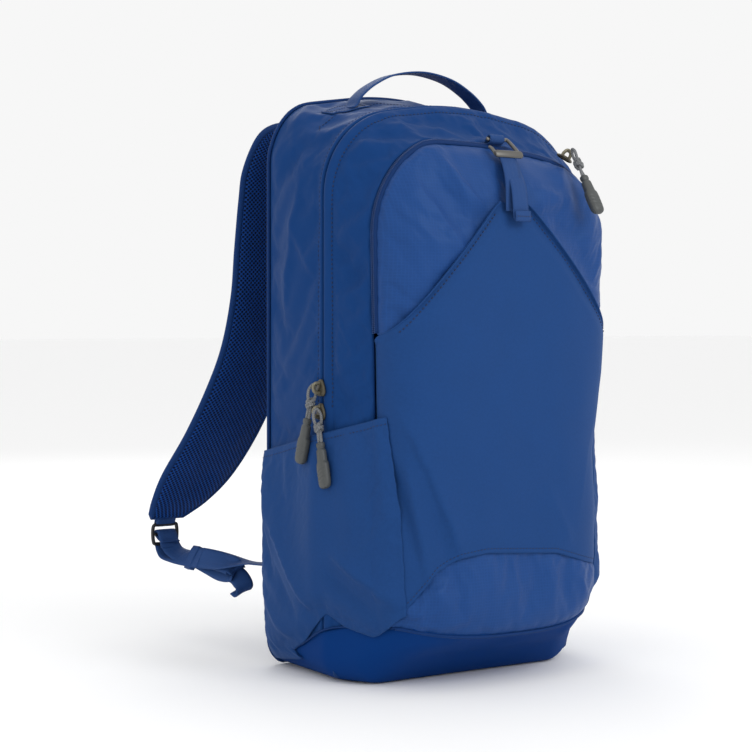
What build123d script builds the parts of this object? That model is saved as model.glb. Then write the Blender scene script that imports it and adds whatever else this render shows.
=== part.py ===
from build123d import *
from math import cos, radians, sin
import os

# A 20-litre daypack with a clamshell main compartment, a front compartment and a stretch stash
# panel held up by a metal hook. +Z is up, the pack's front faces -Y and the wearer is on the +Y side.
# The origin is on the ground under the middle of the base, in the plane of the main zip.
# All sizes are in millimetres.

# The bag's outline, front view, at several depths:
# y, half width at floor, half width at shoulder, floor z, shoulder z, crown z, floor radius, shoulder radius
STATIONS = [
    (96, 131, 130, 0, 486, 508, 24, 50),
    (0, 135, 134, 0, 474, 496, 24, 75),
    (-30, 122, 127, 0, 459, 474, 28, 75),
    (-54, 112, 121, 22, 446, 456, 30, 75),
    (-84, 96, 104, 40, 424, 431, 28, 62),
]
CROWN_RADIUS = 260
BACK_Y = 96
PAD_THICKNESS = 11
PAD_Y = BACK_Y - PAD_THICKNESS
FRONT_Y = -84
WALL = 3.0
FRONT_WALL = 2.5
FAR = 400

# Where the shell is cut into its panels
SIDE_X = 100
BASE_TOP_Z = 28
ZIP_HALF_WIDTH = 4.0
ZIP_GAP = 0.1
LID_HINGE_Y = -98.5
LID_HINGE_Z = 219
DOOR_HINGE_Z = 291
HINGE_GAP = 2.0
FRONT_ZIP_Y = -54
FRONT_ZIP_WIDTH = 2.0
FOOT_SEAM_Z = 95

# Stash panel: a shallow tray sewn over the front
STASH_EDGE_Y = -60
STASH_FRONT_Y = -97
STASH_EDGE_GAP = 1.2
STASH_FABRIC = 2.0
STASH_FRONT_INSET = 4.0
APEX_X = -12
APEX_Z = 400
APEX_HALF_WIDTH = 15
FLAP_HALF_WIDTH = 130

# Side pockets: bulge over the bag's side, by depth and by height
POCKET_FLOOR_Z = 26
POCKET_FABRIC = 1.4
POCKET_BULGE = 12.0
POCKET_SEAM = 1.2
POCKET_BACK_Y = 84.5
POCKET_FRONT_Y = -57.5
POCKET_HEM_BACK_Z = 190
POCKET_HEM_FRONT_Z = 215
POCKET_BY_DEPTH = [(POCKET_BACK_Y, 0.8), (55, 0.95), (15, 1.0), (-22, 0.95), (-45, 0.5), (POCKET_FRONT_Y, 0)]
POCKET_BY_HEIGHT = [(0, 0.3), (60, 0.8), (110, 1.0), (160, 0.85), (185, 0.62), (230, 0.62)]

# Inner sheets
FRAME_SHEET_Y = 83.3
FRAME_SHEET_THICKNESS = 1.5
SLEEVE_Y = 64.0
SLEEVE_TOP_Z = 330
DIVIDER_Y = -6.0
LINING = 1.2

# Shoulder straps, the left one: y, z, outer edge x, width
STRAP_PATH = [
    (101, 478, -95, 65),
    (138, 482, -98, 65),
    (164, 473, -101, 65),
    (184, 445, -104, 66),
    (190, 418, -105, 67),
    (193, 372, -108, 69),
    (193, 327, -112, 71),
    (199, 280, -119, 73),
    (209, 240, -130, 75),
    (227, 197, -143, 76),
    (249, 158, -156, 74),
    (262, 133, -160, 58),
    (270, 117, -160, 36),
]
FOAM = 8.0
MESH = 1.5
FACE = 1.2
BINDING = 2.4
DAISY_WEBBING = 25.0
WEBBING = 1.6
YOKE_THICKNESS = 2.5
BUCKLE_X = -142
BUCKLE_Y = 274
BUCKLE_TOP_Z = 111
BUCKLE_WIDTH = 28
BUCKLE_HEIGHT = 22
BUCKLE_THICKNESS = 4
BUCKLE_BAR = 3.2
STRAP_WEBBING = 20.0

# Grab handle
HANDLE_Y = 52
HANDLE_WEBBING = 20.0
HANDLE_PATH = [(-72, 497), (-60, 508), (-35, 522), (0, 528), (35, 522), (60, 508), (72, 497)]
HANDLE_TAB_X = (60, 84)

# Sliders and their pulls
SLIDER_LENGTH = 14
SLIDER_WIDTH = 14
SLIDER_PLATE = 2.5
PIN_RADIUS = 1.1
PIN_REACH = 7.0
CHEEK_OFFSET = 3.6
CHEEK_THICKNESS = 1.2
CHEEK_WIDTH = 4.0
RING_INNER = 1.9
RING_OUTER = 3.9
RING_WIDTH = 3.2
CORD_RADIUS = 1.6
KNOT_RADIUS = 3.6
KNOT_LENGTH = 7.0
KNOT_Z = -12
GRIP_TOP_Z = -27
GRIP_LENGTH = 38
GRIP_WIDTH = 12
GRIP_THICKNESS = 8
# Name, height, the pin's y, and the pull's lean outwards and backwards in degrees
MAIN_SLIDERS = [("lower", 229, -3, 2.5, -16), ("upper", 249, 3, 6.5, 8)]
SLIDER_CLEARANCE = 0.5
FRONT_SLIDER_ANGLE = 64
FRONT_SLIDER_Y = -59
FRONT_SLIDER_CLEARANCE = 1.6
FRONT_PIN_Y = -67
FRONT_BAIL_DROP = 9.5
FRONT_PULL_LEAN = 32

# Hook that holds the stash flap up
HOOK_X = 3
HOOK_FRONT = (-75, 444)
HOOK_REAR = (-58, 459)
HOOK_WIDTH = 30
HOOK_BAR = 3.4


def block(x_range, y_range, z_range):
    """A box between two x, two y and two z planes."""
    size = [b - a for a, b in (x_range, y_range, z_range)]
    middle = [(a + b) / 2 for a, b in (x_range, y_range, z_range)]
    return Pos(*middle) * Box(*size)


def between(rows, at):
    """The values of a table at one place, by straight lines between its rows."""
    rows = sorted(rows)
    at = min(max(at, rows[0][0]), rows[-1][0])
    for low, high in zip(rows, rows[1:]):
        if at <= high[0]:
            t = (at - low[0]) / (high[0] - low[0])
            return [a + (b - a) * t for a, b in zip(low[1:], high[1:])]


def outline(y, grow=0.0):
    """The bag's outline at one depth, as a face, grown or shrunk all round."""
    low, high, floor, shoulder, crown, low_radius, high_radius = between(STATIONS, y)
    corners = [
        (-low - grow, floor - grow),
        (low + grow, floor - grow),
        (high + grow, shoulder + grow),
        (0, crown + grow),
        (-high - grow, shoulder + grow),
    ]
    radii = [low_radius + grow, low_radius + grow, high_radius + grow, CROWN_RADIUS, high_radius + grow]
    points = [Vector(x, y, z) for x, z in corners]
    return make_face(FilletPolyline(*points, radius=radii, close=True))


def bag(depths, grow=0.0):
    """The bag's solid form through the stations between the first and the last depth."""
    return loft([outline(y, grow) for y in depths], ruled=True)


def half_width(y, z):
    """Half the bag's width at a depth and a height, on its straight side."""
    low, high, floor, shoulder = between(STATIONS, y)[:4]
    return low + (high - low) * (z - floor) / (shoulder - floor)


def solid_of(shape):
    """The one solid of a cut, or all of them as one shape."""
    solids = shape.solids()
    return solids[0] if len(solids) == 1 else Compound(children=list(solids))


def mirrored(shape):
    """The same piece on the bag's other side."""
    return mirror(shape, about=Plane.YZ)


def shoulder_arc(y):
    """The centre (x, z) and the radius of the outline's right shoulder arc at one depth."""
    low, high, floor, shoulder, crown, _, radius = between(STATIONS, y)
    side = Vector(high - low, 0, shoulder - floor).normalized()
    top = Vector(-high, 0, crown - shoulder).normalized()
    half_turn = radians(side.get_angle(top)) / 2
    inward = (top - side).normalized()
    centre = Vector(high, 0, shoulder) + inward * (radius / cos(half_turn))
    return centre.X, centre.Z, radius


def bag_panels():
    """The bag's wall, cut into its sewn panels."""
    outer = bag([BACK_Y, 0, -30, -54, FRONT_Y])
    inner = bag([PAD_Y, 0, -30, -54, FRONT_Y + FRONT_WALL], -WALL)
    shell = outer - inner
    left = (-FAR, -SIDE_X)
    right = (SIDE_X, FAR)
    middle = (-SIDE_X, SIDE_X)
    across = (-FAR, FAR)
    root_top = LID_HINGE_Z - HINGE_GAP
    lid_base = LID_HINGE_Z + HINGE_GAP
    wall_top = DOOR_HINGE_Z - HINGE_GAP / 2
    door_base = DOOR_HINGE_Z + HINGE_GAP / 2
    rear = (ZIP_HALF_WIDTH, PAD_Y)
    lid = (FRONT_ZIP_Y + FRONT_ZIP_WIDTH, -ZIP_HALF_WIDTH)
    cuts = {
        "gusset_left": (left, rear, (BASE_TOP_Z, FAR * 2)),
        "gusset_right": (right, rear, (BASE_TOP_Z, FAR * 2)),
        "gusset_top": (middle, rear, (BASE_TOP_Z, FAR * 2)),
        "base_panel": (across, (FRONT_ZIP_Y, PAD_Y), (-FAR, BASE_TOP_Z)),
        "lower_side_left": (left, (FRONT_ZIP_Y, ZIP_HALF_WIDTH), (BASE_TOP_Z, root_top)),
        "lower_side_right": (right, (FRONT_ZIP_Y, ZIP_HALF_WIDTH), (BASE_TOP_Z, root_top)),
        "main_zip_rear": (across, (ZIP_GAP, ZIP_HALF_WIDTH), (root_top, FAR * 2)),
        "front_foot_panel": (across, (FRONT_Y, FRONT_ZIP_Y), (-FAR, FOOT_SEAM_Z)),
        "front_wall_lower": (across, (FRONT_Y, FRONT_ZIP_Y), (FOOT_SEAM_Z, root_top)),
        "lid_band_left": (left, lid, (lid_base, FAR * 2)),
        "lid_band_right": (right, lid, (lid_base, FAR * 2)),
        "lid_band_top": (middle, lid, (lid_base, FAR * 2)),
        "main_zip_lid": (across, (-ZIP_HALF_WIDTH, -ZIP_GAP), (lid_base, FAR * 2)),
        "front_zip_lid": (across, (FRONT_ZIP_Y, FRONT_ZIP_Y + FRONT_ZIP_WIDTH), (wall_top, FAR * 2)),
        "front_wall_mid": (across, (FRONT_Y, FRONT_ZIP_Y + FRONT_ZIP_WIDTH), (lid_base, wall_top)),
        "front_zip_door": (
            across,
            (FRONT_ZIP_Y - FRONT_ZIP_WIDTH, FRONT_ZIP_Y - ZIP_GAP),
            (door_base, FAR * 2),
        ),
        "front_door_panel": (across, (FRONT_Y, FRONT_ZIP_Y - FRONT_ZIP_WIDTH), (door_base, FAR * 2)),
    }
    panels = {name: solid_of(shell & block(*ranges)) for name, ranges in cuts.items()}
    panels["back_panel"] = solid_of(outer & block(across, (PAD_Y, BACK_Y), (-FAR, FAR * 2)))
    divider = (across, (DIVIDER_Y, DIVIDER_Y + LINING))
    panels["divider_lower"] = solid_of(inner & block(*divider, (-FAR, root_top)))
    panels["divider_upper"] = solid_of(inner & block(*divider, (lid_base, FAR * 2)))
    return panels, outer


def inner_sheets():
    """The stiff frame sheet behind the back pad and the sleeve in the main compartment."""
    frame_face = RectangleRounded(212, 420, 40)
    frame = extrude(Plane((0, FRAME_SHEET_Y, 245), (1, 0, 0), (0, 1, 0)) * frame_face, FRAME_SHEET_THICKNESS)
    sleeve = block((-112, 112), (SLEEVE_Y, SLEEVE_Y + FRAME_SHEET_THICKNESS), (10, SLEEVE_TOP_Z))
    return {"frame_sheet": frame, "laptop_sleeve": sleeve}


def stash_tray(outer):
    """The stretch panel over the front, cut where the lid and its own flap fold."""
    cover = loft(
        [outline(STASH_EDGE_Y, STASH_EDGE_GAP + STASH_FABRIC), shrunk_front(STASH_FRONT_Y, 0)], ruled=True
    )
    room = loft(
        [outline(STASH_EDGE_Y, STASH_EDGE_GAP), shrunk_front(STASH_FRONT_Y + STASH_FABRIC, STASH_FABRIC)],
        ruled=True,
    )
    tray = cover - room - outer
    floor = (room - outer) & block((-FAR, FAR), (-FAR, 0), (FOOT_SEAM_Z, FOOT_SEAM_Z + STASH_FABRIC))
    flap_outline = [
        (-FLAP_HALF_WIDTH, DOOR_HINGE_Z + HINGE_GAP / 2),
        (FLAP_HALF_WIDTH, DOOR_HINGE_Z + HINGE_GAP / 2),
        (APEX_X + APEX_HALF_WIDTH, APEX_Z),
        (APEX_X - APEX_HALF_WIDTH, APEX_Z),
    ]
    flap_face = make_face(Polyline(*[Vector(x, STASH_EDGE_Y, z) for x, z in flap_outline], close=True))
    flap_column = extrude(flap_face, amount=FAR, dir=(0, -1, 0))
    front = ((-FAR, FAR), (-FAR, 0))
    lower = tray & block(*front, (FOOT_SEAM_Z, LID_HINGE_Z - HINGE_GAP))
    return {
        "stash_panel_lower": solid_of(lower + floor),
        "stash_panel_mid": solid_of(
            tray & block(*front, (LID_HINGE_Z + HINGE_GAP, DOOR_HINGE_Z - HINGE_GAP / 2))
        ),
        "stash_flap_panel": solid_of(tray & flap_column),
    }


def shrunk_front(y, inset):
    """The bag's front outline, set in a little, at another depth."""
    face = outline(FRONT_Y, -STASH_FRONT_INSET - inset)
    return Pos(0, y - FRONT_Y, 0) * face


def pocket_section(z, inset):
    """A left pocket's outline from above, at one height."""
    bulge = (POCKET_BULGE - POCKET_SEAM) * between(POCKET_BY_HEIGHT, z)[0]
    back = POCKET_BACK_Y - inset
    side = [
        (-half_width(y, z) - POCKET_SEAM - bulge * share + inset, min(y, back))
        for y, share in POCKET_BY_DEPTH
    ]
    points = [(-SIDE_X + 5, back), *side, (-SIDE_X + 5, POCKET_FRONT_Y)]
    return make_face(Polyline(*[Vector(x, y, z) for x, y in points], close=True))


def side_pocket(outer):
    """The left stretch pocket: a bulging wall with a floor, open at its sloping hem."""
    heights = [POCKET_FLOOR_Z, 60, 110, 160, 185, 230]
    skin = loft([pocket_section(z, 0) for z in heights], ruled=True)
    heights[0] = POCKET_FLOOR_Z + POCKET_FABRIC
    room = loft([pocket_section(z, POCKET_FABRIC) for z in heights], ruled=True)
    hem = [
        (POCKET_BACK_Y, 0),
        (POCKET_BACK_Y, POCKET_HEM_BACK_Z),
        (POCKET_FRONT_Y, POCKET_HEM_FRONT_Z),
        (POCKET_FRONT_Y, 0),
    ]
    side_view = make_face(Polyline(*[Vector(-SIDE_X, y, z) for y, z in hem], close=True))
    column = extrude(side_view, amount=FAR, dir=(-1, 0, 0))
    return solid_of((skin - room - outer) & column)


def ribbon(path, low, high):
    """A strip along (y, z, x edge, x edge) points, between two heights off its middle line."""
    sections = []
    for i, (y, z, x_a, x_b) in enumerate(path):
        before = path[max(i - 1, 0)]
        after = path[min(i + 1, len(path) - 1)]
        along = Vector(0, after[0] - before[0], after[1] - before[1]).normalized()
        out = Vector(0, -along.Z, along.Y)
        corners = [
            Vector(x, y, z) + out * height for x, height in ((x_a, low), (x_b, low), (x_b, high), (x_a, high))
        ]
        sections.append(make_face(Polyline(*corners, close=True)))
    return solid_of(loft(sections, ruled=True))


def shoulder_strap():
    """The left strap's layers: foam, mesh towards the wearer, face fabric, bound edges, webbing."""
    core = [(y, z, x + BINDING, x + width - BINDING) for y, z, x, width in STRAP_PATH]
    outer_edge = [(y, z, x, x + BINDING) for y, z, x, width in STRAP_PATH]
    inner_edge = [(y, z, x + width - BINDING, x + width) for y, z, x, width in STRAP_PATH]
    half = DAISY_WEBBING / 2
    middle = [
        (y, z, x + width / 2 - half, x + width / 2 + half) for y, z, x, width in STRAP_PATH[3:]
    ]
    wearer = -FOAM / 2 - MESH
    outside = FOAM / 2 + FACE
    edges = [ribbon(edge, wearer, outside) for edge in (outer_edge, inner_edge)]
    return {
        "strap_foam": ribbon(core, -FOAM / 2, FOAM / 2),
        "strap_mesh": ribbon(core, wearer, -FOAM / 2),
        "strap_face": ribbon(core, FOAM / 2, outside),
        "strap_binding": Compound(children=edges),
        "strap_daisy_webbing": ribbon(middle, outside, outside + WEBBING),
    }


def ladder_lock():
    """The left strap's adjuster: a plastic frame with a middle bar."""
    half = BUCKLE_WIDTH / 2
    top = BUCKLE_TOP_Z
    bottom = top - BUCKLE_HEIGHT
    faces = (BUCKLE_Y - BUCKLE_THICKNESS / 2, BUCKLE_Y + BUCKLE_THICKNESS / 2)
    frame = block((BUCKLE_X - half, BUCKLE_X + half), faces, (bottom, top))
    slot_height = (BUCKLE_HEIGHT - 3 * BUCKLE_BAR) / 2
    slot_x = (BUCKLE_X - half + BUCKLE_BAR, BUCKLE_X + half - BUCKLE_BAR)
    for row in range(2):
        slot_low = bottom + BUCKLE_BAR + row * (slot_height + BUCKLE_BAR)
        frame -= block(slot_x, (faces[0] - 1, faces[1] + 1), (slot_low, slot_low + slot_height))
    return solid_of(frame)


def lower_webbing():
    """The left strap's lower webbing: the end sewn to the bag, and the end held by the buckle."""
    half = STRAP_WEBBING / 2
    anchored = [
        (BACK_Y + 0.3, 88, -130, -130 + STRAP_WEBBING),
        (130, 86, -133, -133 + STRAP_WEBBING),
    ]
    held = [
        (BUCKLE_Y, BUCKLE_TOP_Z - BUCKLE_HEIGHT - 1, BUCKLE_X - half, BUCKLE_X + half),
        (268, 83, BUCKLE_X - half, BUCKLE_X + half),
        (245, 81, BUCKLE_X - half, BUCKLE_X + half),
        (205, 83, BUCKLE_X - half + 2, BUCKLE_X + half + 2),
    ]
    return {
        "anchor_webbing": ribbon(anchored, -WEBBING / 2, WEBBING / 2),
        "adjuster_webbing": ribbon(held, -WEBBING / 2, WEBBING / 2),
    }


def grab_handle(outer):
    """The webbing handle over the top, and the two tabs that it is sewn on by."""
    sections = []
    for i, (x, z) in enumerate(HANDLE_PATH):
        before = HANDLE_PATH[max(i - 1, 0)]
        after = HANDLE_PATH[min(i + 1, len(HANDLE_PATH) - 1)]
        along = Vector(after[0] - before[0], 0, after[1] - before[1]).normalized()
        out = Vector(-along.Z, 0, along.X)
        corners = [
            Vector(x, HANDLE_Y + side * HANDLE_WEBBING / 2, z) + out * height * WEBBING / 2
            for side, height in ((-1, -1), (1, -1), (1, 1), (-1, 1))
        ]
        sections.append(make_face(Polyline(*corners, close=True)))
    skin = bag([BACK_Y, 0], WEBBING) - outer
    seat = (HANDLE_Y - HANDLE_WEBBING / 2, HANDLE_Y + HANDLE_WEBBING / 2)
    tab = skin & block(HANDLE_TAB_X, seat, (400, FAR * 2))
    return {
        "grab_handle": solid_of(loft(sections, ruled=True)),
        "handle_tabs": Compound(children=[solid_of(tab), solid_of(mirrored(tab))]),
    }


def slider_plate():
    """A slider's plate, lying on z = 0 with the zip along y."""
    plate = Pos(0, 0, SLIDER_PLATE / 2) * Box(SLIDER_WIDTH, SLIDER_LENGTH, SLIDER_PLATE)
    return fillet(plate.edges().filter_by(Axis.Z), 3)


def bail(base, reach):
    """Two cheeks and a pin along y, standing on z = base, with the pin at z = reach."""
    top = reach + PIN_RADIUS
    cheek = Box(CHEEK_WIDTH, CHEEK_THICKNESS, top - base)
    cheeks = [Pos(0, side * CHEEK_OFFSET, (base + top) / 2) * cheek for side in (-1, 1)]
    pin = Pos(0, 0, reach) * Rot(90, 0, 0) * Cylinder(PIN_RADIUS, CHEEK_OFFSET * 2)
    return cheeks[0] + cheeks[1] + pin


def pull(place):
    """A corded pull hanging along -z from a pin along y at the origin, put in its place."""
    around_pin = Rot(90, 0, 0)
    ring = around_pin * (Cylinder(RING_OUTER, RING_WIDTH) - Cylinder(RING_INNER, RING_WIDTH * 2))
    strand_length = -GRIP_TOP_Z - RING_INNER - 1
    strand_middle = (GRIP_TOP_Z - RING_INNER - 1) / 2
    strands = [
        Pos(side * 1.8, 0, strand_middle) * Cylinder(CORD_RADIUS, strand_length) for side in (-1, 1)
    ]
    knot = Pos(0, 0, KNOT_Z) * Cylinder(KNOT_RADIUS, KNOT_LENGTH)
    cord = ring + strands[0] + strands[1] + knot
    middle = GRIP_TOP_Z - GRIP_LENGTH / 2
    grip = Pos(0, 0, middle) * Box(GRIP_THICKNESS, GRIP_WIDTH, GRIP_LENGTH)
    grip = fillet(grip.edges().filter_by(Axis.Z), 3.2)
    return {"cord": place * solid_of(cord), "grip": place * solid_of(grip)}


def main_zip_hardware():
    """The left side's two sliders, parked together low down, and their pulls."""
    parts = {}
    for name, z, pin_y, out, back in MAIN_SLIDERS:
        x = -half_width(0, z) - SLIDER_CLEARANCE
        plate = Pos(x, 0, z) * Rot(0, -90, 0) * slider_plate()
        bridge = Pos(x, pin_y, z) * Rot(0, -90, 0) * bail(SLIDER_PLATE, PIN_REACH)
        parts["main_slider_" + name] = solid_of(plate + bridge)
        print(name, "slider: pin", x - PIN_REACH, pin_y, z)
        place = Pos(x - PIN_REACH, pin_y, z) * Rot(back, 0, 0) * Rot(0, out, 0)
        for piece, shape in pull(place).items():
            parts[f"pull_{piece}_{name}"] = shape
    return parts


def front_zip_hardware():
    """The front compartment's slider, on the right shoulder of its zip, and its pull."""
    centre_x, centre_z, radius = shoulder_arc(FRONT_ZIP_Y)
    angle = radians(FRONT_SLIDER_ANGLE)
    seat_radius = radius + FRONT_SLIDER_CLEARANCE
    x = centre_x + cos(angle) * seat_radius
    z = centre_z + sin(angle) * seat_radius
    plate = Pos(x, FRONT_SLIDER_Y, z) * Rot(0, 90 - FRONT_SLIDER_ANGLE, 0) * slider_plate()
    pin_x = x + cos(angle) * PIN_REACH
    pin_z = z + sin(angle) * PIN_REACH
    pin_seat = Pos(pin_x, FRONT_PIN_Y, pin_z) * Rot(0, 0, 90)
    bridge = pin_seat * bail(-FRONT_BAIL_DROP, 0)
    hanging = pin_seat * Rot(0, FRONT_PULL_LEAN, 0)
    print("front slider: arc centre", centre_x, centre_z, "pin", pin_x, FRONT_PIN_Y, pin_z)
    parts = {"front_slider": solid_of(plate + bridge)}
    for piece, shape in pull(hanging).items():
        parts[f"pull_{piece}_front"] = shape
    return parts


def hook_and_strap():
    """The metal hook, the flap's strap up to it, and the tab that it hooks on."""
    y_mid = (HOOK_FRONT[0] + HOOK_REAR[0]) / 2
    z_mid = (HOOK_FRONT[1] + HOOK_REAR[1]) / 2
    run = Vector(0, HOOK_REAR[0] - HOOK_FRONT[0], HOOK_REAR[1] - HOOK_FRONT[1])
    plane = Plane((HOOK_X, y_mid, z_mid), (1, 0, 0), Vector(1, 0, 0).cross(run))
    window = Rectangle(HOOK_WIDTH - 2 * HOOK_BAR, run.length - HOOK_BAR)
    ring = Rectangle(HOOK_WIDTH, run.length + HOOK_BAR) - window
    hook = plane * extrude(ring, HOOK_BAR / 2, both=True)
    half = 9.0
    riser = [
        (-96, 405, HOOK_X - half - 8, HOOK_X + half - 8),
        (-92, 425, HOOK_X - half - 3, HOOK_X + half - 3),
        (-79, 439, HOOK_X - half, HOOK_X + half),
    ]
    tab = block((HOOK_X - 8, HOOK_X + 8), (-53.4, -52), (457.6, 466))
    return {
        "g_hook": solid_of(hook),
        "flap_strap": ribbon(riser, -WEBBING / 2, WEBBING / 2),
        "hook_anchor": tab,
    }


def strap_yoke():
    """The reinforcement that the straps are sewn under, on the back pad."""
    return block((-100, 100), (BACK_Y, BACK_Y + YOKE_THICKNESS), (440, 484))


def all_parts():
    panels, outer = bag_panels()
    parts = dict(panels)
    parts.update(inner_sheets())
    parts.update(stash_tray(outer))
    pocket = side_pocket(outer)
    parts["side_pocket_left"] = pocket
    parts["side_pocket_right"] = mirrored(pocket)
    for name, shape in {**shoulder_strap(), **lower_webbing(), "ladder_lock": ladder_lock()}.items():
        parts[name + "_left"] = shape
        parts[name + "_right"] = mirrored(shape)
    parts.update(grab_handle(outer))
    parts.update(main_zip_hardware())
    parts.update(front_zip_hardware())
    parts.update(hook_and_strap())
    parts["strap_yoke"] = strap_yoke()
    return parts


os.makedirs("parts", exist_ok=True)
for part_name, part_shape in all_parts().items():
    export_step(part_shape, f"parts/{part_name}.step")
    print(part_name, round(part_shape.volume / 1000, 2), "cm3")
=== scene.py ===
"""Looks of the daypack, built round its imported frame. Helper sizes are in millimetres, meshes in metres."""

import math

import bpy
import numpy as np
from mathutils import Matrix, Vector
from mathutils.bvhtree import BVHTree


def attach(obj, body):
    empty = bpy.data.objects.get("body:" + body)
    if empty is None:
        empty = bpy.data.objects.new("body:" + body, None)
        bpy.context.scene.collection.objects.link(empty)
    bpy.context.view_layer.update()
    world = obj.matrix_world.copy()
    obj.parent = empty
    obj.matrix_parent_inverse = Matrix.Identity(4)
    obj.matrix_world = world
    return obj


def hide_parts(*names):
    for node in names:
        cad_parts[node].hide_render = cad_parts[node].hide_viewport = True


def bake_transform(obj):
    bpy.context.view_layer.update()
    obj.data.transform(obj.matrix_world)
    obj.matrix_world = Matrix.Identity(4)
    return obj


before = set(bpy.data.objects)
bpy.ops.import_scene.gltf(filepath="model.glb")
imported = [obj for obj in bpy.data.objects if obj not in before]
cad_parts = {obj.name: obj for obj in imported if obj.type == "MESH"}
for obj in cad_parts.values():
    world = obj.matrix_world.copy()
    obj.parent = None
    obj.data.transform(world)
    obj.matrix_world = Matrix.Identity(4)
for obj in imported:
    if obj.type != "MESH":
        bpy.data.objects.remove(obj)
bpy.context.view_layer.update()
MM = 0.001
RNG = np.random.default_rng(7)

# The bag's outline, front view, by depth:
# y, half width at floor, half width at shoulder, floor z, shoulder z, crown z, floor radius, shoulder radius
STATIONS = np.array([
    (96, 131, 130, 0, 486, 508, 24, 50),
    (0, 135, 134, 0, 474, 496, 24, 75),
    (-30, 122, 127, 0, 459, 474, 28, 75),
    (-54, 112, 121, 22, 446, 456, 30, 75),
    (-84, 96, 104, 40, 424, 431, 28, 62),
], float)
CROWN_RADIUS = 260
HINGE_Z = 219
FLAP_Z = 291
# The slanted edges of the flap: where they start and end
FLAP_START, FLAP_TOP = 288, 396
FRONT_ZIP_Y = -54
DOME_Y = -55.0
DOME_DEPTH = 40.0
# Rows of the outline's table: the foot of the side, the shoulder's end, and where heights stop being read
SIDE_ROW, TOP_ROW, SHOULDER_ROW, CROWN_ROW = 13, 26, 30, 38
HANDLE_Y = 52
SETTLE_FRAMES = 18
SIDES = ((-1, "left"), (1, "right"))


# ---------------------------------------------------------------- small maths


def smooth(x, a, b):
    """A soft step from 0 at a to 1 at b."""
    t = np.clip((np.asarray(x, float) - a) / (b - a), 0, 1)
    return t * t * (3 - 2 * t)


def unit(v):
    """The vectors at length 1."""
    return v / np.maximum(np.linalg.norm(v, axis=-1, keepdims=True), 1e-9)


def waves(points, seed, size, count=7):
    """A smooth random field from -1 to 1 over points, with lumps of about that size."""
    rng = np.random.default_rng(seed)
    field = np.zeros(points.shape[:-1])
    for _ in range(count):
        direction = unit(rng.normal(size=3)) * 2 * math.pi / (size * rng.uniform(0.7, 1.6))
        field += np.sin(points @ direction + rng.uniform(0, 2 * math.pi))
    return field / math.sqrt(count * 2)


def crease(points, a, b, steep, soft, side):
    """A ridge from 0 to 1 along the line a-b: steep on one side, soft on the other, fading at both ends."""
    a, b, side = np.array(a, float), np.array(b, float), np.array(side, float)
    along = b - a
    t = (points - a) @ along / (along @ along)
    off = points - (a + np.clip(t, 0, 1)[..., None] * along)
    signed = off @ unit(side - (side @ unit(along)) * unit(along))
    width = np.where(signed > 0, steep, soft)
    fade = smooth(t, -0.05, 0.25) * (1 - smooth(t, 0.7, 1.05))
    return np.exp(-np.linalg.norm(off, axis=-1) / width) * fade


def add_creases(height, points, mask, *rows):
    """Adds creases to a height field: size, two ends, steep width, soft width and side of each."""
    for size, *shape in rows:
        height += size * mask * crease(points, *shape)


def spline(knots, count):
    """Points evenly spaced along a smooth curve through the knots."""
    k = np.array(knots, float)
    k = np.vstack([2 * k[0] - k[1], k, 2 * k[-1] - k[-2]])
    rows = []
    for i in range(1, len(k) - 2):
        t = np.linspace(0, 1, 16, endpoint=False)[:, None]
        rows.append(0.5 * (2 * k[i] + (k[i + 1] - k[i - 1]) * t
                           + (2 * k[i - 1] - 5 * k[i] + 4 * k[i + 1] - k[i + 2]) * t ** 2
                           + (3 * k[i] - k[i - 1] - 3 * k[i + 1] + k[i + 2]) * t ** 3))
    return resample(np.vstack(rows + [k[-2:-1]]), count)


def resample(points, count):
    """The same line with evenly spaced points."""
    points = np.asarray(points, float)
    length = run_along(points)
    at = np.linspace(0, length[-1], count)
    return np.stack([np.interp(at, length, points[:, i]) for i in range(points.shape[1])], 1)


def length_of(points):
    """The length of a line of points."""
    return float(np.linalg.norm(np.diff(points, axis=0), axis=1).sum())


def run_along(points):
    """The distance along a line to each of its points."""
    return np.concatenate([[0], np.cumsum(np.linalg.norm(np.diff(points, axis=0), axis=1))])


def table(u, v):
    """Weave coordinates for a grid, from one number per column or row, or one per point."""
    return np.stack(np.broadcast_arrays(u, v), -1)


def direction(line):
    """The direction of a line at each of its points."""
    return unit(np.gradient(line, axis=0))


# ---------------------------------------------------------------- the bag's form


def station(y):
    """The outline's seven measures at one depth."""
    return [float(np.interp(-y, -STATIONS[:, 0], STATIONS[:, i])) for i in range(1, 8)]


def half_outline(y, grow=0.0):
    """The outline's right half at one depth: t from 0 at the base's middle to 6 at the crown, x and z."""
    low, high, floor, shoulder, crown, r_low, r_high = station(y)
    corners = np.array([(0, floor - grow), (low + grow, floor - grow), (high + grow, shoulder + grow),
                        (0, crown + grow), (-high - grow, shoulder + grow)])
    table = [(0.0, 0.0, floor - grow)]
    for i, radius in ((1, r_low + grow), (2, r_high + grow), (3, CROWN_RADIUS)):
        before = unit(corners[i] - corners[i - 1])
        after = unit(corners[i + 1] - corners[i])
        turn = math.acos(float(np.clip(before @ after, -1, 1)))
        start = corners[i] - before * radius * math.tan(turn / 2)
        inward = np.array([-before[1], before[0]])
        share = 0.5 if i == 3 else 1.0
        for k in range(13):
            angle = turn * share * k / 12
            p = start + before * radius * math.sin(angle) + inward * radius * (1 - math.cos(angle))
            table.append((2 * i - 1 + k / 12, p[0], p[1]))
    return np.array(table).T


def at_height(y, z):
    """The outline's t at a height on the side."""
    t, _, heights = half_outline(y)
    return float(np.interp(z, heights[:CROWN_ROW], t[:CROWN_ROW]))


def half_width(y, z):
    """Half the bag's width at a depth and a height."""
    t, x, heights = half_outline(y)
    return float(np.interp(z, heights[:SHOULDER_ROW], x[:SHOULDER_ROW]))


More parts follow.
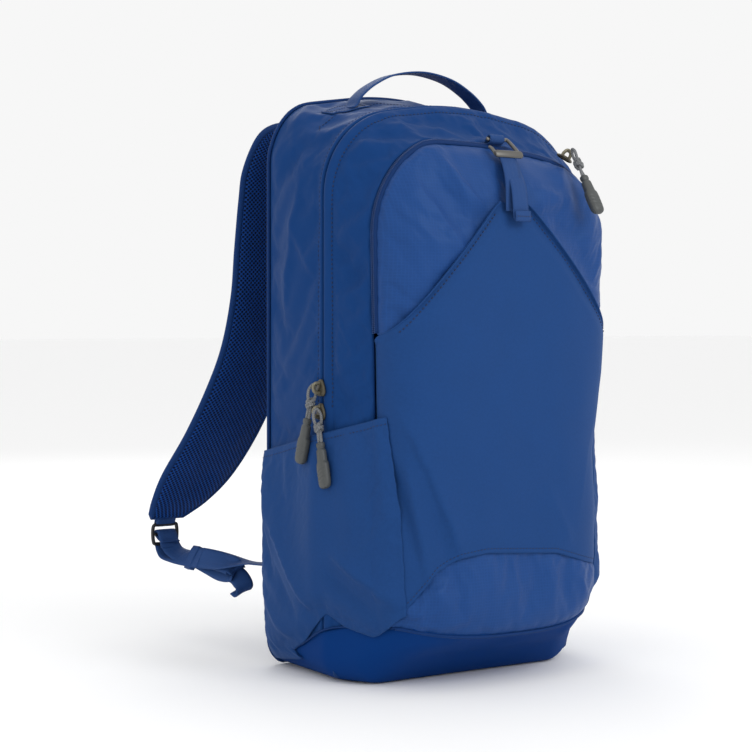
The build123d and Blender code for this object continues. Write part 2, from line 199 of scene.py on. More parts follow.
def around(y, t_start, half_count, grow=0.0):
    """Points of the outline from the left side at t_start over the crown to the right side."""
    t, x, z = half_outline(y, grow)
    keep = t > t_start + 1e-6
    xs = np.concatenate([[np.interp(t_start, t, x)], x[keep]])
    zs = np.concatenate([[np.interp(t_start, t, z)], z[keep]])
    half = resample(np.stack([xs, zs], 1), half_count)
    both = np.vstack([half * [-1, 1], half[-2::-1]])
    return np.stack([both[:, 0], np.full(len(both), float(y)), both[:, 1]], 1)


_, EDGE_X, EDGE_Z = half_outline(DOME_Y)


def dome_half_width(z):
    """Half the width of the front at a height, where it meets the bands."""
    z = np.asarray(z, float)
    side = np.interp(z, EDGE_Z[SIDE_ROW:], EDGE_X[SIDE_ROW:])
    return np.where(z < EDGE_Z[SIDE_ROW], EDGE_X[SIDE_ROW] - (EDGE_Z[SIDE_ROW] - z) * 0.3, side)


def dome_top(x):
    """The height of the front's upper edge."""
    return np.interp(-np.abs(x), -EDGE_X[TOP_ROW:], EDGE_Z[TOP_ROW:])


def dome_y(x, z, out=0.0, deep=1.0):
    """The depth of the front's crowned surface."""
    x, z = np.asarray(x, float), np.asarray(z, float)
    across = np.clip(np.abs(x) / np.maximum(dome_half_width(z), 1), 0, 1)
    up = np.clip((z - 345) / np.maximum(dome_top(x) - 345, 1), 0, 1)
    full = (1 - across ** 3.4) ** (1 / 2.3) * (1 - up ** 2.8) ** (1 / 2.2)
    return DOME_Y - DOME_DEPTH * deep * full - out


def on_dome(x, z, out=0.0, deep=1.0):
    """Points of the front's crowned surface."""
    return np.stack([np.asarray(x, float), dome_y(x, z, out, deep), np.asarray(z, float)], -1)


def normals_of(grid, centre=(0, 10, 250)):
    """Outward normals of a grid of points, and whether its rows and columns wind outwards."""
    normal = unit(np.cross(np.gradient(grid, axis=1), np.gradient(grid, axis=0)))
    outward = float((normal * (grid - np.array(centre))).sum(-1).mean()) > 0
    return (normal if outward else -normal), outward


# ---------------------------------------------------------------- meshes


def add_mesh(name, vertices, faces, uvs=None):
    """An object in the scene from points in millimetres."""
    mesh = bpy.data.meshes.new(name)
    mesh.from_pydata([tuple(v) for v in np.asarray(vertices) * MM], [], faces)
    mesh.polygons.foreach_set("use_smooth", [True] * len(mesh.polygons))
    if uvs is not None:
        layer = mesh.uv_layers.new(name="UVMap")
        index = np.zeros(len(mesh.loops), int)
        mesh.loops.foreach_get("vertex_index", index)
        layer.data.foreach_set("uv", (np.asarray(uvs) * MM)[index].astype(np.float32).ravel())
    mesh.update()
    obj = bpy.data.objects.new(name, mesh)
    bpy.context.scene.collection.objects.link(obj)
    return obj


def quads(rows, cols, wrap, outward=True):
    """The faces of a grid of points, with its last column joined to its first if it wraps."""
    faces = []
    for i in range(rows - 1):
        for j in range(cols if wrap else cols - 1):
            k = (j + 1) % cols
            quad = (i * cols + j, i * cols + k, (i + 1) * cols + k, (i + 1) * cols + j)
            faces.append(quad if outward else quad[::-1])
    return faces


def cloth_grid(name, grid, outward=None, uv=None, wrap=False):
    """A sheet from rows and columns of points, with its weave's coordinates."""
    rows, cols = grid.shape[:2]
    if outward is None:
        outward = normals_of(grid)[1]
    faces = quads(rows, cols, wrap, outward)
    if uv is None:
        steps_u, steps_v = (np.linalg.norm(np.diff(grid, axis=axis), axis=2) for axis in (1, 0))
        u = np.concatenate([np.zeros((rows, 1)), np.cumsum(steps_u, 1)], 1)
        v = np.concatenate([np.zeros((1, cols)), np.cumsum(steps_v, 0)], 0)
        uv = np.stack([u, v], -1)
    return add_mesh(name, grid.reshape(-1, 3), faces, uv.reshape(-1, 2))


def tube(name, points, radius, sides=10, closed=False, flatten=1.0, flat_axis=(0.31, 0.77, 0.56)):
    """A round or flattened cord along points."""
    points = np.asarray(points, float)
    n = len(points)
    tangent = unit(np.roll(points, -1, 0) - np.roll(points, 1, 0)) if closed else direction(points)
    side = np.array(flat_axis, float)
    angles = np.arange(sides) * 2 * math.pi / sides
    ring = []
    for i in range(n):
        side = unit(side - (side @ tangent[i]) * tangent[i])
        other = np.cross(tangent[i], side)
        ring.append(points[i] + radius * (np.outer(np.cos(angles), side)
                                          + flatten * np.outer(np.sin(angles), other)))
    vertices = np.array(ring).reshape(-1, 3)
    faces = quads(n, sides, True)
    if closed:
        last = (n - 1) * sides
        for j in range(sides):
            m = (j + 1) % sides
            faces.append((last + j, last + m, m, j))
    else:
        faces.append(tuple(range(sides))[::-1])
        faces.append(tuple((n - 1) * sides + j for j in range(sides)))
    run = run_along(points)
    turn = np.arange(sides) / sides * 2 * math.pi * radius
    uv = np.stack(np.meshgrid(run, turn, indexing="ij"), -1).reshape(-1, 2)
    return add_mesh(name, vertices, faces, uv)


def strip(name, centre, side, out, width, thick=1.6, cols=7, edge=0.35):
    """Webbing along a line: its middle points, the direction across it, and its thickness direction."""
    centre = np.asarray(centre, float)
    side, out = np.broadcast_to(side, centre.shape), np.broadcast_to(out, centre.shape)
    width = np.broadcast_to(np.asarray(width, float), (len(centre),))[:, None]
    across = np.concatenate([np.linspace(-0.5, 0.5, cols), np.linspace(0.5, -0.5, cols)])
    sign = np.concatenate([np.ones(cols), -np.ones(cols)])
    rounding = 1 - edge * np.abs(across * 2) ** 6
    grid = np.stack([centre + side * width * a + out * (thick / 2 * s * r)
                     for a, s, r in zip(across, sign, rounding)], 1)
    uv = table(run_along(centre)[:, None], (across * float(width.mean()))[None, :])
    rows, around_count = len(centre), cols * 2
    flip = bool(np.dot(np.cross(side[0], out[0]), np.gradient(centre, axis=0)[0]) < 0)
    faces = quads(rows, around_count, True, flip)
    for j in range(cols - 1):
        first = (j, j + 1, around_count - 2 - j, around_count - 1 - j)
        last = tuple((rows - 1) * around_count + k for k in first)
        faces.append(first[::-1] if flip else first)
        faces.append(last if flip else last[::-1])
    return add_mesh(name, grid.reshape(-1, 3), faces, uv.reshape(-1, 2))


def modifiers(obj, subdivide=1, thick=0.0, offset=-1.0):
    """Rounds a mesh off and gives it its thickness in millimetres."""
    if subdivide:
        m = obj.modifiers.new("Subdivision", "SUBSURF")
        m.levels = m.render_levels = subdivide
    if thick:
        m = obj.modifiers.new("Solidify", "SOLIDIFY")
        m.thickness = thick * MM
        m.offset = offset
    return obj


def freeze(obj):
    """Applies the modifiers, so that the mesh is final."""
    depsgraph = bpy.context.evaluated_depsgraph_get()
    mesh = bpy.data.meshes.new_from_object(obj.evaluated_get(depsgraph), depsgraph=depsgraph)
    old = obj.data
    obj.modifiers.clear()
    obj.data = mesh
    bpy.data.meshes.remove(old)
    mesh.name = obj.name
    return obj


def join(name, objects):
    """One object out of several that share a material."""
    vertices, faces, uvs = [], [], []
    for o in objects:
        base = len(vertices)
        vertices += [v.co[:] for v in o.data.vertices]
        faces += [tuple(base + k for k in p.vertices) for p in o.data.polygons]
        flat = np.zeros(len(o.data.loops) * 2)
        o.data.uv_layers[0].data.foreach_get("uv", flat)
        uvs.append(flat)
        bpy.data.objects.remove(o)
    obj = add_mesh(name, np.array(vertices) / MM, faces)
    layer = obj.data.uv_layers.new(name="UVMap")
    layer.data.foreach_set("uv", np.concatenate(uvs).astype(np.float32))
    return obj


# ---------------------------------------------------------------- cloth

SIMS = []


def crumple(obj, pinned, excess, pressure, cap, bending=0.4):
    """Lists a sheet whose fabric is longer than its seams, so that it buckles between them."""
    group = obj.vertex_groups.new(name="seams")
    group.add([int(i) for i in np.flatnonzero(pinned)], 1.0, "REPLACE")
    rest = np.zeros(len(obj.data.vertices) * 3)
    obj.data.vertices.foreach_get("co", rest)
    rest = rest.reshape(-1, 3)
    start = rest + RNG.normal(size=rest.shape) * 0.00025 * (~pinned)[:, None]
    obj.data.vertices.foreach_set("co", start.ravel())
    cloth = obj.modifiers.new("Cloth", "CLOTH")
    settings = cloth.settings
    settings.quality = 6
    settings.mass = 0.15
    settings.tension_stiffness = settings.compression_stiffness = 20
    settings.shear_stiffness = 8
    settings.bending_stiffness = bending
    settings.vertex_group_mass = "seams"
    settings.shrink_min = -excess
    settings.use_pressure = True
    settings.uniform_pressure_force = pressure
    settings.effector_weights.gravity = 0.05
    cloth.collision_settings.use_collision = False
    cloth.point_cache.frame_start, cloth.point_cache.frame_end = 1, SETTLE_FRAMES + 2
    SIMS.append((obj, rest, cap))


def run_cloth():
    """Runs every listed sheet at once, keeps its shape within its cap and removes the Cloth."""
    if not SIMS:
        return
    scene = bpy.context.scene
    for n in range(1, SETTLE_FRAMES + 1):
        scene.frame_set(n)
    depsgraph = bpy.context.evaluated_depsgraph_get()
    shapes = []
    for obj, rest, cap in SIMS:
        mesh = obj.evaluated_get(depsgraph).data
        co = np.zeros(len(rest) * 3)
        mesh.vertices.foreach_get("co", co)
        shapes.append(co.reshape(-1, 3))
    for (obj, rest, cap), co in zip(SIMS, shapes):
        move = co - rest
        size = np.linalg.norm(move, axis=1, keepdims=True)
        limit = cap * MM
        move *= limit * np.tanh(size / limit) / np.maximum(size, 1e-12)
        obj.modifiers.clear()
        obj.data.vertices.foreach_set("co", (rest + move).ravel())
        obj.data.update()
        obj.vertex_groups.clear()
    scene.frame_set(1)
    SIMS.clear()


def edge_mask(grid, sides, band=1):
    """Which points of a grid lie on its named edges: left, right, top, bottom."""
    mask = np.zeros(grid.shape[:2], bool)
    edges = {"t": mask[:band], "b": mask[-band:], "l": mask[:, :band], "r": mask[:, -band:]}
    for side in sides:
        edges[side][...] = True
    return mask.ravel()


# ---------------------------------------------------------------- materials


class Graph:
    """A material with its Principled shader, and short ways to add nodes to it."""

    def __init__(self, name, colour, roughness, **sockets):
        self.material = bpy.data.materials.new(name)
        self.material.use_nodes = True
        self.tree = self.material.node_tree
        self.inputs = self.tree.nodes["Principled BSDF"].inputs
        self.inputs["Base Color"].default_value = (*colour, 1)
        self.inputs["Roughness"].default_value = roughness
        for socket, value in sockets.items():
            self.inputs[socket.replace("_", " ")].default_value = value

    def put(self, value, socket):
        """Links an output to a socket, or sets the socket to a plain value."""
        if hasattr(value, "is_output"):
            self.tree.links.new(value, socket)
        else:
            socket.default_value = value

    def node(self, kind, **values):
        made = self.tree.nodes.new(kind)
        for key, value in values.items():
            if key in made.inputs:
                self.put(value, made.inputs[key])
            else:
                setattr(made, key, value)
        return made

    def maths(self, operation, *values):
        made = self.node("ShaderNodeMath", operation=operation)
        for socket, value in zip(made.inputs, values):
            self.put(value, socket)
        return made.outputs[0]

    def mix(self, factor, first, second):
        made = self.node("ShaderNodeMix", data_type="RGBA")
        for index, value in ((0, factor), (6, first), (7, second)):
            self.put((*value, 1) if isinstance(value, tuple) else value, made.inputs[index])
        return made.outputs[2]

    def noise(self, vector, scale, detail=3.0):
        return self.node("ShaderNodeTexNoise", Scale=scale, Detail=detail, Vector=vector).outputs[0]

    def ramp(self, value, low, high):
        made = self.node("ShaderNodeMapRange")
        for socket, number in (("Value", value), ("From Min", low), ("From Max", high)):
            self.put(number, made.inputs[socket])
        return made.outputs[0]

    def weave_uv(self):
        return self.node("ShaderNodeUVMap", uv_map="UVMap").outputs[0]

    def finish(self, base, height, strength, distance, rough=None):
        """Connects the colour, the roughness and the bump."""
        self.put(base, self.inputs["Base Color"])
        if rough is not None:
            self.put(rough, self.inputs["Roughness"])
        bump = self.node("ShaderNodeBump", Strength=strength, Distance=distance, Height=height)
        self.put(bump.outputs[0], self.inputs["Normal"])
        return self.material


def shade(colour, factor):
    """A colour made darker or lighter."""
    return tuple(min(1.0, c * factor) for c in colour)


def woven(name, colour, square=0.0, thread=0.0006, roughness=0.62, sheen=0.25, mottle=0.08, bump=0.25,
          shine=0.2):
    """Woven fabric: crossing threads, a mottle, and thicker ripstop threads in squares if a size is given."""
    g = Graph(name, colour, roughness, Sheen_Weight=sheen, Sheen_Roughness=0.35,
              Sheen_Tint=(0.25, 0.5, 1.0, 1.0),
              Specular_IOR_Level=shine, Specular_Tint=(0.45, 0.68, 1.0, 1.0))
    uv = g.weave_uv()
    parts = g.node("ShaderNodeSeparateXYZ", Vector=uv)
    per_thread = 2 * math.pi / thread
    threads = [g.maths("SINE", g.maths("MULTIPLY", parts.outputs[axis], per_thread)) for axis in (0, 1)]
    height = g.maths("MULTIPLY", g.maths("MULTIPLY", *threads), 0.3)
    patches, slubs, grain = g.noise(uv, 28.0), g.noise(uv, 420.0, 2.0), g.noise(uv, 1500.0, 1.0)
    tone = g.maths("MULTIPLY_ADD", grain, 0.4, g.maths("MULTIPLY", patches, 0.3))
    tone = g.maths("MULTIPLY_ADD", slubs, 0.5, g.maths("SUBTRACT", tone, 0.1))
    height = g.maths("MULTIPLY_ADD", slubs, 1.2, height)
    base = g.mix(tone, shade(colour, 1 - mottle), shade(colour, 1 + mottle))
    if square:
        lines = []
        for axis in (0, 1):
            cell = g.maths("FRACT", g.maths("MULTIPLY", parts.outputs[axis], 1 / square))
            off = g.maths("ABSOLUTE", g.maths("SUBTRACT", cell, 0.5))
            lines.append(g.maths("GREATER_THAN", off, 0.38))
        rip = g.maths("MAXIMUM", *lines)
        base = g.mix(g.maths("MULTIPLY", rip, 0.22), base, shade(colour, 1.45))
        height = g.maths("ADD", height, rip)
    return g.finish(base, height, bump, 0.00012, g.maths("MULTIPLY_ADD", patches, 0.12, roughness - 0.06))


def spacer_mesh(name, colour, pitch):
    """Knitted spacer mesh: a lattice of open holes between raised yarns, with the holes painted near black as
    the shade inside them.
    """
    g = Graph(name, colour, 0.7, Specular_IOR_Level=0.12)
    uv = g.weave_uv()
    turn = g.node("ShaderNodeMapping", Vector=uv, Rotation=(0, 0, math.radians(45)),
                  Scale=(1 / pitch, 1 / pitch, 1))
    cells = g.node("ShaderNodeTexVoronoi", Scale=1.0, Randomness=0.0, Vector=turn.outputs[0])
    yarn_here = g.ramp(cells.outputs["Distance"], 0.3, 0.46)
    yarn = g.mix(g.noise(uv, 35.0), shade(colour, 0.8), shade(colour, 1.2))
    # The holes get 6% of the yarn colour: painted shade inside the holes.
    return g.finish(g.mix(yarn_here, shade(colour, 0.06), yarn), yarn_here, 0.6, 0.0006)


def ribbed(name, colour, rib=0.0013, across=0.0022, roughness=0.6, rib_shade_and_tone=0.16, depth=0.0002):
    """Webbing or tape: fine ribs along u that lean one way and then the other across it, with painted shade
    in the grooves, painted light on the rib tops and a random tone.
    """
    g = Graph(name, colour, roughness, Specular_IOR_Level=0.14, Specular_Tint=(0.6, 0.78, 1.0, 1.0))
    uv = g.weave_uv()
    parts = g.node("ShaderNodeSeparateXYZ", Vector=uv)
    run = g.maths("ADD", parts.outputs[0], g.maths("PINGPONG", parts.outputs[1], across))
    ridge = g.maths("SINE", g.maths("MULTIPLY", run, 2 * math.pi / rib))
    # Colour follows the ridge: painted shade in the grooves and painted light on the rib tops. The noise
    # below adds a random tone.
    share = g.maths("SUBTRACT", g.maths("MULTIPLY_ADD", ridge, 0.35, 0.5), 0.15)
    share = g.maths("MULTIPLY_ADD", g.noise(uv, 900.0, 2.0), 0.3, share)
    return g.finish(g.mix(share, shade(colour, 1 - rib_shade_and_tone), shade(colour, 1 + rib_shade_and_tone)), ridge, 0.4, depth)


def solid_finish(name, colour, roughness, metallic=0.0, grain=400.0, bump=0.1, edge_tone=None):
    """Moulded plastic, rubber or metal with a fine grain, and a lighter tone on sharp raised edges if one is
    given.
    """
    g = Graph(name, colour, roughness, Metallic=metallic)
    where = g.node("ShaderNodeTexCoord").outputs["Object"]
    fine = g.noise(where, grain)
    base = g.mix(g.noise(where, 60.0), shade(colour, 0.86), shade(colour, 1.14))
    if edge_tone:
        # A lighter colour on sharp convex edges, picked out by pointiness.
        base = g.mix(g.ramp(g.node("ShaderNodeNewGeometry").outputs["Pointiness"], 0.52, 0.6), base, edge_tone)
    return g.finish(base, fine, bump, 0.0002, g.maths("MULTIPLY_ADD", fine, 0.16, roughness - 0.08))


MATERIALS = {
    "ripstop": woven("ripstop_nylon", (0.0125, 0.050, 0.185), square=0.0026, roughness=0.46, sheen=0.06),
    # This navy is darker than the ripstop's navy: painted shade of the bag's sides, on the same navy fabric.
    "plain": woven("plain_nylon_painted_shade", (0.0080, 0.042, 0.160), thread=0.0007, roughness=0.52, sheen=0.03,
                   mottle=0.06,
                   shine=0.06),
    "stretch_woven": woven("stretch_woven_nylon", (0.010, 0.046, 0.168), thread=0.0008, roughness=0.66,
                           sheen=0.1, mottle=0.2, bump=0.4),
    "lining": woven("coated_lining", (0.014, 0.045, 0.15), thread=0.0006, roughness=0.45, sheen=0.05),
    # The base's navy is darker than the other panels' navy: painted shade of the underside, on the same
    # fabric.
    "base": woven("base_nylon_painted_shade", (0.003, 0.034, 0.165), thread=0.0009, roughness=0.7, sheen=0.02, shine=0.06),
    "back_mesh": spacer_mesh("back_air_mesh", (0.004, 0.034, 0.16), 0.0034),
    "spacer_mesh": spacer_mesh("strap_spacer_mesh", (0.005, 0.052, 0.25), 0.0029),
    "webbing": ribbed("blue_webbing", (0.020, 0.058, 0.185), rib_shade_and_tone=0.26),
    "binding": ribbed("binding_tape", (0.006, 0.032, 0.135), rib=0.0009, across=0.004, rib_shade_and_tone=0.1),
    "zip_tape": ribbed("zip_tape", (0.006, 0.028, 0.115), rib=0.0012, across=0.0024, rib_shade_and_tone=0.3),
    "zip_coil": solid_finish("zip_coil_plastic", (0.011, 0.046, 0.17), 0.5),
    # The thread is a much darker navy than the fabric: painted shade of the needle holes, on real stitches.
    "thread": solid_finish("sewing_thread_painted_hole_shade", (0.004, 0.014, 0.06), 0.7, grain=2500.0, bump=0.3),
    "zip_metal": solid_finish("painted_zinc", (0.075, 0.066, 0.044), 0.4, metallic=0.5,
                              edge_tone=(0.26, 0.24, 0.17)),
    "hook_metal": solid_finish("satin_hook_metal", (0.055, 0.054, 0.052), 0.34, metallic=0.6, grain=900.0,
                               edge_tone=(0.22, 0.21, 0.19)),
    "pull_cord": ribbed("braided_cord", (0.175, 0.18, 0.185), rib=0.0017, across=0.0013, rib_shade_and_tone=0.5,
                        depth=0.0004),
    "pull_grip": solid_finish("moulded_grip", (0.050, 0.055, 0.055), 0.46, grain=700.0, bump=0.15),
    "buckle": solid_finish("black_acetal", (0.010, 0.010, 0.011), 0.38, grain=1200.0),
    "frame_sheet": solid_finish("polyethylene_sheet", (0.78, 0.78, 0.75), 0.5, grain=500.0),
}


def piece(obj, material, body, *nodes):
    """Gives an object its material and slot, the body or blend it moves with, and the CAD nodes it shows."""
    obj.data.materials.clear()
    obj.data.materials.append(MATERIALS[material])
    if isinstance(body, str):
        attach(obj, body)
    else:
        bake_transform(obj)
    if nodes:
        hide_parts(*nodes)
    return obj


# ---------------------------------------------------------------- stitches


def surface_of(obj):
    """A search tree over an object's final mesh, in millimetres."""
    depsgraph = bpy.context.evaluated_depsgraph_get()
    mesh = obj.evaluated_get(depsgraph).data
    vertices = [Vector(v.co) / MM for v in mesh.vertices]
    return BVHTree.FromPolygons(vertices, [tuple(p.vertices) for p in mesh.polygons])


def laid_on(tree, points, lift=0.0):
    """The points moved onto a surface, and its normals there."""
    found, normals = [], []
    for p in points:
        hit, normal, _, _ = tree.find_nearest(Vector(p))
        if normal.dot(Vector(p) - Vector((0, 10, max(60, min(420, p[2]))))) < 0:
            normal = -normal
        found.append(np.array(hit) + np.array(normal) * lift)
        normals.append(np.array(normal))
    return np.array(found), np.array(normals)


def capsules(name, places, shape, length, radius, material, body):
    """Short rounded five-sided rods in one object, each from its middle and its three directions."""
    vertices, faces, uvs = [], [], []
    rings = len(shape)
    for middle, reach, up, side in places:
        base = len(vertices)
        for run, share, rise in shape:
            for k in range(5):
                a = 2 * math.pi * k / 5
                lift = rise * radius + math.sin(a) * radius * share
                spread = side * math.cos(a) * radius * share
                vertices.append(middle + reach * run * length + up * lift + spread)
                uvs.append((run * length, k))
        faces += [tuple(base + k for k in quad) for quad in quads(rings, 5, True)]
        faces.append(tuple(base + k for k in range(5))[::-1])
        faces.append(tuple(base + (rings - 1) * 5 + k for k in range(5)))
    return piece(add_mesh(name, np.array(vertices), faces, np.array(uvs)), material, body)


def stitches(name, lines, body, pitch=3.6, stitch=2.5, radius=0.42):
    """Sewing thread: short rounded lengths along each line of (points, normals)."""
    shape = [(-0.5, 0.15, -0.5), (-0.38, 0.8, 0.1), (0, 1.0, 0.3), (0.38, 0.8, 0.1), (0.5, 0.15, -0.5)]
    places = []
    for points, normals in lines:
        count = max(2, int(length_of(points) / pitch))
        at = resample(np.hstack([points, normals]), count * 2 + 1)[1::2]
        along = direction(at[:, :3]) if count > 2 else unit(points[-1:] - points[:1]).repeat(len(at), 0)
        for p, t in zip(at, along):
            n = unit(p[3:])
            places.append((p[:3], t, n, unit(np.cross(t, n))))
    capsules(name, places, shape, stitch, radius, "thread", body)


# ---------------------------------------------------------------- bag panels

LID_BLEND = ("pack", "lid", (0, -0.05, 0.185), (0, -0.05, 0.25))
FRONT_BLEND = ("pack", "lid", (0, -0.0985, 0.203), (0, -0.0985, 0.235))


def base_height(y):
    """Height of the seam between the base and the side above it."""
    return np.interp(-y, [-95, -60, -30, -10, 20, 54], [10, 18, 30, 42, 50, 52])


def shell_form(points):
    """The slack of the filled bag: soft lumps, and a top that sags towards the front's right."""
    x, y, z = points[..., 0], points[..., 1], points[..., 2]
    moved = points.copy()
    top = smooth(z, 395, 455)
    front = smooth(-y, 0, 50)
    moved[..., 2] += top * front * np.interp(x, [-120, -70, 0, 60, 110], [3, 5, -2, -5, -5])
    rear_top = smooth(z, 455, 500) * smooth(y, 10, 80)
    moved[..., 2] += rear_top * np.interp(x, [-110, -90, 30, 110], [7, 6, 3, -3])
    slack = smooth(x, 20, 112) * smooth(-y, -30, 50)
    moved[..., 0] -= slack * np.interp(z, [0, 60, 100, 150, 195, 260, 340], [14, 14, 8, 10, 12, 4, 0])
    return moved


def gusset():
    """The rear band of the bag, from the back edge to the main zip."""
    ys = np.concatenate([[95.2, 94.6, 92.5], np.linspace(89, 6, 26), [3.6, 2.0, 1.4, 1.3]])
    grid = np.stack([around(y, at_height(y, base_height(y)), 150) for y in ys])
    normal, outward = normals_of(grid)
    across = np.array([-4.0, -1.5, -0.3] + [0.0] * 26 + [0.5, 0.2, -1.2, -3.2])[:, None]
    bulge = 1.4 * np.sin(np.pi * smooth(-ys, -95, 0))[:, None]
    x, z = grid[..., 0], grid[..., 2]
    inside = smooth(-ys, -93, -80)[:, None] * (1 - smooth(-ys, -12, -3))[:, None]
    folds = 2.6 * waves(grid * [1, 1.0, 0.25], 11, 60) + 1.1 * waves(grid, 12, 26)
    left = x < 0
    add_creases(folds, grid, left,
        (4.6, (-134, 60, 300), (-134, 30, 445), 3, 14, (0, -1, 0.3)),
        (-3.5, (-128, 14, 392), (-120, 66, 452), 9, 16, (0, 0, 1)),
        (4.0, (-134, 50, 392), (-134, 14, 340), 3, 12, (0, 1, 1)),
        (3.4, (-134, 78, 470), (-132, 22, 430), 3, 10, (0, 0, -1)),
        (-2.5, (-134, 78, 250), (-134, 20, 330), 10, 14, (0, 0, 1)))
    add_creases(folds, grid, 1,
        (2.5, (-90, 76, 508), (30, 62, 512), 6, 12, (0, -1, 0)),
        (-3.0, (-60, 40, 500), (60, 34, 503), 7, 12, (0, -1, 0)))
    height = across + inside * (bulge + folds) * np.where(z < 240, 0.35, 1.0)
    grid = shell_form(grid + normal * height[..., None])
    obj = cloth_grid("gusset_panel", grid, outward)
    pins = edge_mask(grid, "t", 4) | edge_mask(grid, "b", 5) | edge_mask(grid, "lr", 2)
    crumple(obj, pins, 0.02, 0.8, 3.6, bending=1.0)
    return obj


def lid_band():
    """The front band, from the main zip to the front zip, with the rolled storm flap along its rear edge."""
    ys = np.concatenate([[-0.6, -0.75, -1.6, -3.4, -6.5, -9.5, -10.6, -12], np.linspace(-15, -49, 14),
                         [-50.2, -51.0, -51.3]])
    grid = np.stack([around(y, at_height(y, base_height(y)), 170) for y in ys])
    normal, outward = normals_of(grid)
    roll = np.array([-3.4, -1.2, 0.9, 1.6, 1.5, 0.9, -0.1, 0.3] + [0.8] * 14 + [0.2, -0.6, -2.6])[:, None]
    z = grid[..., 2]
    inside = smooth(-ys, 12, 20)[:, None] * (1 - smooth(-ys, 44, 52))[:, None]
    ripple = smooth(-ys, 2, 5)[:, None] * (1 - smooth(-ys, 9, 13))[:, None]
    height = roll + inside * (2.0 * waves(grid, 21, 50) + 1.2 * waves(grid, 22, 22))
    height += ripple * 1.0 * waves(grid * [1, 0.2, 1], 23, 12) * (z > 230)
    left = grid[..., 0] < 0
    add_creases(height, grid, inside * left,
        (2.6, (-126, -14, 318), (-120, -44, 262), 4, 13, (0, -0.5, 1)),
        (-3.4, (-128, -20, 370), (-124, -40, 330), 8, 14, (0, 1, 0)))
    add_creases(height, grid, inside,
        (3.4, (-70, -14, 482), (-20, -44, 462), 2.5, 9, (0, 1, 0)),
        (3.2, (-112, -14, 452), (-78, -46, 440), 2.5, 9, (0, 1, 0)),
        (1.8, (20, -16, 480), (60, -40, 458), 3, 9, (0, 1, 0)))
    grid = shell_form(grid + normal * height[..., None])
    obj = cloth_grid("lid_band_panel", grid, outward)
    pins = edge_mask(grid, "t", 8) | edge_mask(grid, "b", 3) | edge_mask(grid, "lr", 3)
    crumple(obj, pins, 0.035, 1.0, 5.0)
    return obj


def door():
    """The front compartment's panel, from its zip in to under the stash flap."""
    t_low = at_height(DOME_Y, FLAP_Z + 2)
    edge = around(-55.6, t_low, 90)
    centre = np.array([0.0, 0.0, FLAP_Z + 2.0])
    shares = np.concatenate([[1.0, 0.994, 0.985, 0.97, 0.95], np.linspace(0.92, 0.3, 26)])
    flat = centre + (edge - centre) * shares[:, None, None]
    grid = np.stack([on_dome(row[:, 0], row[:, 2], 0.0, 0.83) for row in flat])
    grid[0, :, 1] = -55.6
    x, z = grid[..., 0], grid[..., 2]
    normal, outward = normals_of(grid)
    inside = smooth(1 - shares, 0.01, 0.08)[:, None]
    height = inside * (1.7 * waves(grid, 31, 55) + 0.9 * waves(grid, 32, 24))
    add_creases(height, grid, inside,
        (4.2, (-92, -78, 425), (-45, -92, 352), 3, 12, (1, 0, 0.4)),
        (-3.0, (-72, -84, 430), (-30, -92, 372), 6, 12, (1, 0, 0.4)),
        (4.0, (-60, -80, 440), (-28, -92, 398), 2.5, 10, (1, 0, 0.4)),
        (3.4, (40, -92, 356), (100, -74, 330), 3, 12, (0, 0, 1)),
        (-2.6, (30, -92, 380), (92, -70, 398), 6, 12, (0, 0, 1)),
        (2.4, (22, -90, 424), (84, -70, 410), 3, 9, (0, 0, 1)),
        (-2.2, (-22, -90, 412), (22, -88, 418), 8, 10, (0, 0, 1)))
    grid = shell_form(grid + normal * height[..., None])
    obj = cloth_grid("front_door", grid, outward, table(x, z))
    crumple(obj, edge_mask(grid, "tblr"), 0.03, 0.6, 3.6)
    return obj


def stash_edges(z):
    """Left and right edges of the stash panel at a height."""
    side = dome_half_width(z) + 1.4
    left = np.where(z > FLAP_START, np.interp(z, [FLAP_START, FLAP_TOP], [-122, -27]), -side)
    right = np.where(z > FLAP_START, np.interp(z, [FLAP_START, FLAP_TOP], [122, 17]), side)
    return left, right


FOOT_SEAM = [(-116, 52), (-108, 64), (-82, 100), (-62, 110), (-35, 113), (40, 108), (80, 98), (116, 90)]


def foot_seam(x):
    """Height of the seam between the stash panel and the foot panel."""
    return np.interp(x, [p[0] for p in FOOT_SEAM], [p[1] for p in FOOT_SEAM])


def tucked(row):
    """The row with its two ends turned in behind the bands at the sides."""
    row[0] += [4.0, 8.0, 0.0]
    row[-1] += [-4.0, 8.0, 0.0]
    return row


